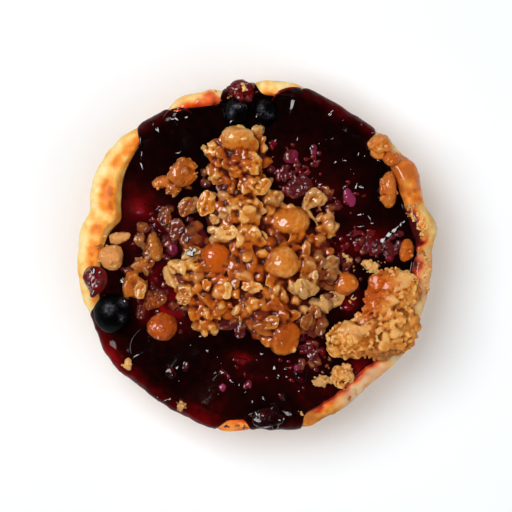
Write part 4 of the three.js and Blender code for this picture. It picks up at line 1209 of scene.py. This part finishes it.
# Bits of fruit and soaked crumb half sunk in the jam: place in the photo, half sizes in its pixels, turn, and
# tone from dark (0) over purple brown to magenta (1).
FRUIT_BITS = (
    (313, 150, 4, 7, 0, 0.95), (348, 197, 7, 10, 20, 0.9), (337, 204.5, 6, 6, 0, 0.6),
    (315.5, 163, 4, 4, 0, 0.5), (302, 175.5, 4, 6, 0, 0.75), (291, 156, 8, 8, 0, 0.6),
    (288, 190, 8, 7, 0, 0.62), (278, 174, 5, 7, 0, 0.55), (273, 143, 5, 5, 0, 0.4),
    (357, 232.5, 9, 3.5, 8, 0.9), (371, 232, 7, 4, 0, 0.4), (369, 244.5, 5, 5, 0, 0.7),
    (378.5, 249, 6, 5, 0, 0.72), (356.7, 247, 4, 4, 0, 0.7), (390, 258, 6, 4, 0, 0.7),
    (164.5, 216.7, 8, 9, 0, 0.5), (145, 226, 6, 5, 0, 0.6), (139, 237, 4.5, 7, 0, 0.66),
    (173, 230, 4, 9, 0, 0.6), (192.4, 229, 4, 5, 0, 0.85), (170.6, 249, 8, 8, 0, 0.6),
    (221.5, 202, 4, 4, 0, 0.7), (221.5, 387, 4, 5, 0, 0.85), (248, 384.5, 4, 5, 0, 0.8),
    (297, 367.5, 4, 4, 0, 0.85), (306, 319, 5, 5, 0, 0.7), (309, 325, 5, 5, 0, 0.65),
    (303, 326, 4, 4, 0, 0.6), (315, 323, 5, 5, 0, 0.7), (320, 328, 4, 4, 0, 0.6),
    (325, 264.5, 6, 6, 0, 0.7), (332.4, 262, 6, 6, 0, 0.7), (324, 286, 6, 6, 0, 0.72),
    (348, 308, 5, 4, 0, 0.5), (265, 160, 4, 4, 0, 0.5), (283, 205, 5, 4, 0, 0.6), (296, 165, 4, 3, 0, 0.5),
    (330, 240, 4, 3, 0, 0.4), (345, 248, 4, 3, 0, 0.5), (338, 255, 5, 4, 0, 0.6), (318, 256, 5, 4, 0, 0.68),
    (310, 253, 4, 4, 0, 0.85), (310, 345, 6, 6, 0, 0.5), (322, 352, 5, 5, 0, 0.5), (303, 352, 5, 4, 0, 0.6),
    (312, 365, 4, 4, 0, 0.5), (240, 361, 11, 4, -10, 0.45), (203, 293, 3, 3, 0, 0.2),
    (170, 372, 6, 8, 20, 0.0), (185, 366, 5, 6, 0, 0.05), (300, 375, 8, 7, 0, 0.05),
)
FRUIT_SINK = 0.4
parts = []
for across, down, half_across, half_down, turn, tone in FRUIT_BITS:
    x, y = from_photo(across, down)
    half_sizes = np.array((half_across, half_down, 0.7 * min(half_across, half_down))) * MM_A_PIXEL
    centre = (x, y, height_over(ground, x, y) - FRUIT_SINK * half_sizes[2])
    bit, faces = lump(centre, half_sizes, turn, seed=across, uneven=0.14, fineness=4, flats=5)
    parts.append((bit, faces, (tone,)))
for *where, count in PULP:
    for _ in range(count):
        x, y = scattered(*where)
        if math.hypot(x, y) > INNER_RADIUS:
            continue
        size = random.uniform(0.5, 1.25)
        centre = (x, y, height_over(ground, x, y) - 0.45 * size)
        bit, faces, _ = crumb_at(centre, size, (0, 0, 0), flat=0.7)
        parts.append((bit, faces, (random.uniform(0.2, 0.68),)))
mesh, paint = fused(parts, VOXELS["fruit"], 1)
corners = read_corners(mesh)
move_corners(mesh, 0.08 * grain(corners, 0.7, 34) + 0.06 * grain(corners, 1.3, 35))
corners = read_corners(mesh)
x, y, z = corners.T
shown = smoothstep(-0.3, 1.1, z - filling_level(x, y))  # the jam over their lower parts darkens them
tone = paint[:, 0] * (0.3 + 0.7 * shown) + 0.2 * grain(corners, 1.1, 36) - 0.22
finish_piece("fruit_bits", mesh, flesh_finish, {"tone": tone})

# Folds of the jam's skin that catch the light: place in the photo, length, width and turn, in its pixels.
SKIN_FOLDS = (
    (153, 124, 4, 3, 60), (157, 129, 6, 4, -50), (155, 135, 3, 2, 80), (174, 118, 10, 3.5, -8),
    (186, 116.5, 4, 2.5, 35), (140, 140, 8, 1.3, 88), (141, 154, 9, 1.3, 85), (141, 165, 8, 2, -70),
    (150, 184, 9, 2.5, -75), (178, 152, 6, 2, 15), (232, 197, 9, 3.5, 80), (204.5, 183, 5, 3, 80),
    (187, 238.5, 6, 3, 80), (191, 252, 12, 7, 30), (199, 249, 6, 5, -40), (330.5, 112.5, 8, 3, 50),
    (343, 119.7, 3, 1, 50), (361, 124, 4, 2, -70), (371, 131.5, 8, 2, -15), (297, 138.5, 4, 2, 80),
    (326, 139, 2, 1, 0), (332, 138, 3, 1.5, 30), (319, 143, 3, 1.5, 30), (311, 147, 5, 3, 45),
    (335, 161.5, 5, 2, 35), (344.5, 160, 5, 1.5, 0), (358, 153.6, 4, 1.5, 80), (364.5, 155.5, 4, 2, 45),
    (378.5, 159.7, 4, 3, 0), (350.6, 168.8, 2, 1, 0), (353.6, 173, 2, 1, 0), (319.7, 184, 5, 2, 10),
    (344, 187.6, 4, 2, 0), (356, 186, 7, 2.5, 75), (361, 186.5, 8, 2.5, -20), (360, 214, 9, 2.5, 8),
    (369.4, 217, 8, 2, -60), (360, 226, 9, 1.5, 5), (372.4, 223, 5, 3, 0), (401, 224, 10, 3, 50),
    (395, 229, 11, 3.2, 40), (388, 235, 11, 4.2, 45), (383, 239.5, 8, 4.4, 30), (406, 209, 6, 2, 80),
    (376, 244.5, 6, 1.5, 70), (383, 249, 5, 2, 20), (400, 244.5, 7, 1.5, 55), (124, 301.5, 5, 3, 70),
    (122, 280, 6, 4, 80), (172, 288, 8, 3, 60), (173, 295, 6, 2.5, -60), (203, 293, 3, 1.5, 0),
    (180, 322.7, 4, 2, -20), (199.7, 336, 3, 3, 0), (207, 350.6, 4, 3, -50), (217, 357, 1.5, 1.5, 0),
    (221, 363, 1.5, 1.5, 0), (176.7, 367.6, 4, 3, 60), (172, 375, 4, 3, 70), (178.5, 381, 2, 1.5, 0),
    (215, 373, 4, 2.5, 20), (221.5, 372, 6, 3, -15), (238.5, 384.5, 2.5, 2.5, 0), (218, 394, 1.5, 1.5, 0),
    (135.5, 355.5, 9, 1.5, 25), (156.7, 397, 2, 2, 0), (167, 399.7, 9, 1.5, 15), (252, 401.5, 4, 2, -60),
    (274, 367.6, 4, 4, 30), (278, 376, 5, 3, 80), (285, 369, 3, 3, 45), (286, 376.7, 2.5, 2.5, 0),
    (298.5, 377, 3, 2, 80), (298.5, 391, 2, 2, 0), (261, 353.6, 4, 2, 0), (301, 336.7, 3, 2, 20),
    (298, 324, 4, 3, 60), (256, 413.6, 6, 2, -60), (263, 398, 8, 2, -60), (279, 419.7, 4, 2, 0),
    (283, 418.5, 3, 2, 45), (298.5, 411, 3, 2, 0), (245, 392, 3, 1.5, 60), (231, 381, 10, 1.2, -40),
    (190, 345, 3, 1.5, 30), (275, 140, 4, 1.5, 60), (240, 106, 3, 4, 80), (248, 112, 3, 3, 60),
    (256, 115, 5, 2, 80), (230, 104, 3, 2, 80), (231, 121, 6, 2, 40), (262, 128, 4, 3, 60),
    (93, 271, 7, 4, 60), (96, 279, 6, 3, -70), (89, 283, 4, 2.5, 80), (93, 291, 7, 2.5, 75),
    (99, 272, 4, 2, 20),
)
FOLD_THICKNESS = 0.14
KEY_AZIMUTH = 160
KEY_ELEVATION = 50
FOLD_TILT = (90 - KEY_ELEVATION) / 2  # towards the key softbox: it faces half way between that and the camera
STEEPEST_FOLD = 0.7  # the rise over its reach above which a fold would stand off what it lies on
RIDGE_SIDES = 8
POOL_SIDES = 72
POOL_SHARES = np.linspace(0.02, 1, 26)  # of its half sizes, for a pool's rings
so_far = tree_of()


def skin_fold(x, y, half_length, half_width, turn):
    """A small ragged scale of jam skin, flat on top and leaning to the light; None where it is too steep."""
    corners, faces = unit_ball(3)
    across, along, up = corners.T
    around = np.arctan2(along, across)
    shift = random.uniform(0, 6, 3)
    ragged = 1 + 0.2 * np.sin(3 * around + shift[0]) + 0.15 * np.sin(5 * around + shift[1])
    flat = np.sign(up) * np.abs(up) ** 0.35 * FOLD_THICKNESS
    scale = np.stack([across * ragged * half_length, along * ragged * half_width, flat], axis=1)
    scale[:, 2] += 0.09 * grain(scale, 0.6, int(10 * shift[2]))
    side = math.radians(KEY_AZIMUTH)
    tilted = Matrix.Rotation(math.radians(FOLD_TILT), 3, Vector((-math.sin(side), math.cos(side), 0)))
    rotation = np.array(tilted @ Matrix.Rotation(math.radians(turn), 3, "Z")).T
    away = math.radians(turn - KEY_AZIMUTH)
    reach = half_length * abs(math.cos(away)) + half_width * abs(math.sin(away))
    middle_height = height_over(so_far, x, y)
    raised_height = height_over(so_far, x - reach * math.cos(side), y - reach * math.sin(side))
    if abs(middle_height - raised_height) > STEEPEST_FOLD * reach:
        return None
    z = min(middle_height, raised_height) + 0.7 * reach * math.sin(math.radians(FOLD_TILT))
    return scale @ rotation + (x, y, z), faces, (0.0,)


def triangles_of(quads):
    return np.concatenate([quads[:, [0, 1, 2]], quads[:, [0, 2, 3]]])


def ridge(places, radius, thin):
    """A low round ridge of jam along a line of places in the photo, lying on what is under it."""
    line = [from_photo(across, down) for across, down in places]
    spine = np.array([within_rim(so_far, x, y) for x, y in line])
    ahead = np.gradient(spine, axis=0)
    ahead /= np.linalg.norm(ahead, axis=1)[:, None]
    side = np.cross(ahead, (0, 0, 1))
    up = np.cross(side, ahead)
    taper = radius * np.sqrt(np.sin(np.linspace(0.1, math.pi - 0.1, len(line))))
    around = np.arange(RIDGE_SIDES) * 2 * math.pi / RIDGE_SIDES
    rings = spine[:, None] + taper[:, None, None] * (
        side[:, None] * np.cos(around)[None, :, None] + up[:, None] * np.sin(around)[None, :, None]
    )
    return rings.reshape(-1, 3), triangles_of(bands(len(line), RIDGE_SIDES)), (thin,)


def oval_place(middle, across, along, spin=0):
    """The place in the photo that is so far across and up from the middle of an oval turned by `spin`."""
    return (
        middle[0] + across * math.cos(spin) - along * math.sin(spin),
        middle[1] - across * math.sin(spin) - along * math.cos(spin),
    )


def arc(middle, half_sizes, turn, start, end, count=40):
    """Places in the photo along an oval arc, by its middle, half sizes and turn, and the angles it spans."""
    angle = np.radians(np.linspace(start, end, count))
    across, along = half_sizes[0] * np.cos(angle), half_sizes[1] * np.sin(angle)
    return [oval_place(middle, a, b, math.radians(turn)) for a, b in zip(across, along)]


def pool(middle, half_sizes, thickness, thin):
    """A thin pool of jam over the crust, oval in the photo, that goes under the filling at its far side."""
    rings = []
    for share in POOL_SHARES:
        for turn in np.arange(POOL_SIDES) * 2 * math.pi / POOL_SIDES:
            across, along = share * half_sizes[0] * math.cos(turn), -share * half_sizes[1] * math.sin(turn)
            x, y, z = within_rim(crust, *from_photo(*oval_place(middle, across, along)))
            rings.append((x, y, z + thickness * (math.sqrt(1 - share**4) - 0.15)))
    return np.array(rings), triangles_of(bands(len(POOL_SHARES), POOL_SIDES)), (thin,)


parts = []
for across, down, length, width, turn in SKIN_FOLDS:
    x, y = from_photo(across, down)
    fold = skin_fold(x, y, length * MM_A_PIXEL / 2, width * MM_A_PIXEL / 2, turn)
    if fold:
        parts.append(fold)
crust = tree_of([case_piece])
# Pools over the crust: the middle and half sizes in the photo, thickness in mm, and how thin it looks.
POOLS = (((296, 104), (25, 17), 0.5, 0.08),)
parts += [pool(*oval) for oval in POOLS]
# Rims of burst skins and lips of jam: an oval arc in the photo, half thickness in mm, and how thin it is.
RIDGES = (
    ((139, 342), (8, 14), -25, 20, 330, 0.12, 0.0),
    ((226, 384), (14, 12), 0, 20, 200, 0.14, 0.0),
    ((178, 119), (15, 11), 6, 25, 165, 0.4, 0.4),
    ((296, 104), (25, 17), 0, 80, 172, 0.4, 0.7),
    ((245, 384), (16, 7), 10, 60, 150, 0.12, 0.0),
    ((203, 293), (3, 3), 0, 0, 350, 0.12, 0.2),
    ((331, 276), (8, 9), 0, 190, 340, 0.14, 0.3),
)
parts += [ridge(arc(*oval), radius, thin) for *oval, radius, thin in RIDGES]
corners, faces, paint = joined(parts)
values = {"thin": paint[:, 0], "gloss": np.ones(len(corners))}
finish_piece("jam_skin_folds", bare_mesh(corners, faces), jam_finish, values)

# Crumbs and flakes that lie about: place in the photo, radius in its pixels, tone and stain.
STRAY_CRUMBS = (
    (243, 88, 3.6, 0.85, 0.0), (241, 84, 2.4, 0.8, 0.1), (234, 95, 3, 0.5, 0.5), (229, 98, 2.4, 0.5, 0.6),
    (413, 217, 3.4, 0.85, 0.0), (418, 213, 3, 0.9, 0.05), (420, 221, 3.6, 0.95, 0.0),
    (424, 229, 3.4, 0.9, 0.05), (417, 226, 3, 0.85, 0.1), (410, 209, 3.4, 0.7, 0.3),
    (415, 206, 2.6, 0.7, 0.2), (408, 213, 2.4, 0.6, 0.4), (422, 235, 2.8, 0.85, 0.1),
    (427, 224, 2.4, 0.9, 0.0), (346, 256, 3.4, 0.75, 0.05), (348, 261, 2.6, 0.7, 0.1),
    (352, 298, 3.2, 0.8, 0.0), (354, 269, 2.6, 0.7, 0.2), (376, 271, 3, 0.85, 0.0), (381, 264, 3, 0.8, 0.1),
    (422, 254, 3, 0.6, 0.4), (426, 260, 3, 0.8, 0.1), (421, 264, 2.6, 0.6, 0.3), (427, 270, 3.4, 0.85, 0.0),
    (423, 277, 3, 0.75, 0.1), (426, 285, 3, 0.8, 0.05), (424, 292, 2.8, 0.75, 0.1),
    (420, 299, 2.6, 0.7, 0.1), (330, 352, 2.6, 0.6, 0.3), (328, 358, 2.4, 0.6, 0.4),
    (326, 365, 2.6, 0.6, 0.4), (323, 372, 2.2, 0.6, 0.5), (345, 370, 3, 0.7, 0.0), (347, 377, 3, 0.7, 0.05),
    (213, 92, 2.2, 0.7, 0.2), (104, 236, 2.4, 0.7, 0.1), (238, 424, 2.2, 0.6, 0.2),
    (243, 427, 2.4, 0.7, 0.1), (228, 428, 2.6, 0.8, 0.1), (301, 413, 2.6, 0.7, 0.2),
    (356, 391, 2.8, 0.7, 0.1), (348, 398, 2.4, 0.5, 0.3), (366, 384, 2.6, 0.8, 0.0),
    (98, 247, 2.4, 0.5, 0.5),
)
STRAY_GRAINS = 5
parts = []
for across, down, radius, tone, stain in STRAY_CRUMBS:
    x, y = from_photo(across, down)
    size = radius * MM_A_PIXEL
    z = height_over(so_far, x, y) + 0.25 * size
    for _ in range(STRAY_GRAINS):
        aside = 0.6 * size * random.normal(size=3) * (1, 1, 0.4)
        place = (x + aside[0], y + aside[1], z + aside[2])
        parts.append(crumb_at(place, size * random.uniform(0.4, 0.7), (tone, stain, 0.1)))
crumble_piece("stray_crumbs", parts, VOXELS["stray"], 0.3, [], relief=0.04)

# ---- floor, light and camera

FLOOR_SIZE = 6
bpy.ops.mesh.primitive_plane_add(size=FLOOR_SIZE)
floor = bpy.context.object
floor.name = "floor"
floor.data.materials.append(painted_studio_floor())

RIM_PLANE = 0.026
CAMERA_HEIGHT = 1.2
SENSOR = 36

camera_data = bpy.data.cameras.new("camera above")
camera_data.sensor_width = SENSOR
camera_data.lens = SENSOR * (CAMERA_HEIGHT - RIM_PLANE) / (PIXELS * MM_A_PIXEL * MM)
camera_data.clip_start = 0.01
camera_data.clip_end = 20
camera = bpy.data.objects.new("camera above", camera_data)
camera.location = (0, 0, CAMERA_HEIGHT)
bpy.context.collection.objects.link(camera)
bpy.context.scene.camera = camera


def softbox(name, azimuth, elevation, distance, size, power, glossy=True, diffuse=True):
    """A square studio light that faces the tart, for its glints, its shading or both."""
    data = bpy.data.lights.new(name, "AREA")
    data.shape = "SQUARE"
    data.size = size
    data.energy = power
    light = bpy.data.objects.new(name, data)
    a, e = math.radians(azimuth), math.radians(elevation)
    away = Vector((math.cos(a) * math.cos(e), math.sin(a) * math.cos(e), math.sin(e)))
    light.location = away * distance
    light.rotation_mode = "QUATERNION"
    light.rotation_quaternion = (-away).to_track_quat("-Z", "Y")
    light.visible_glossy = glossy
    light.visible_diffuse = diffuse
    bpy.context.collection.objects.link(light)


softbox("key softbox", KEY_AZIMUTH, KEY_ELEVATION, distance=0.7, size=0.34, power=4.6, diffuse=False)
softbox("main softbox", azimuth=155, elevation=66, distance=1.0, size=0.7, power=8.6, glossy=False)
softbox("right fill", azimuth=330, elevation=62, distance=1.0, size=1.0, power=5.0, glossy=False)

world = bpy.data.worlds.new("studio walls")
world.use_nodes = True
bpy.context.scene.world = world
walls = world.node_tree
upward = add(walls, "SeparateXYZ", {"Vector": add(walls, "TexCoord")})
GREYS = (0.0, (0.3, 0.3, 0.3, 1)), (0.35, (0.1, 0.1, 0.1, 1)), (0.7, (0.01, 0.01, 0.01, 1))  # going up
brightness = add(walls, "ValToRGB", {"Fac": upward}, GREYS)
plug(walls, walls.nodes["Background"], {"Color": brightness, "Strength": 1})
bpy.context.scene.view_settings.view_transform = "Standard"
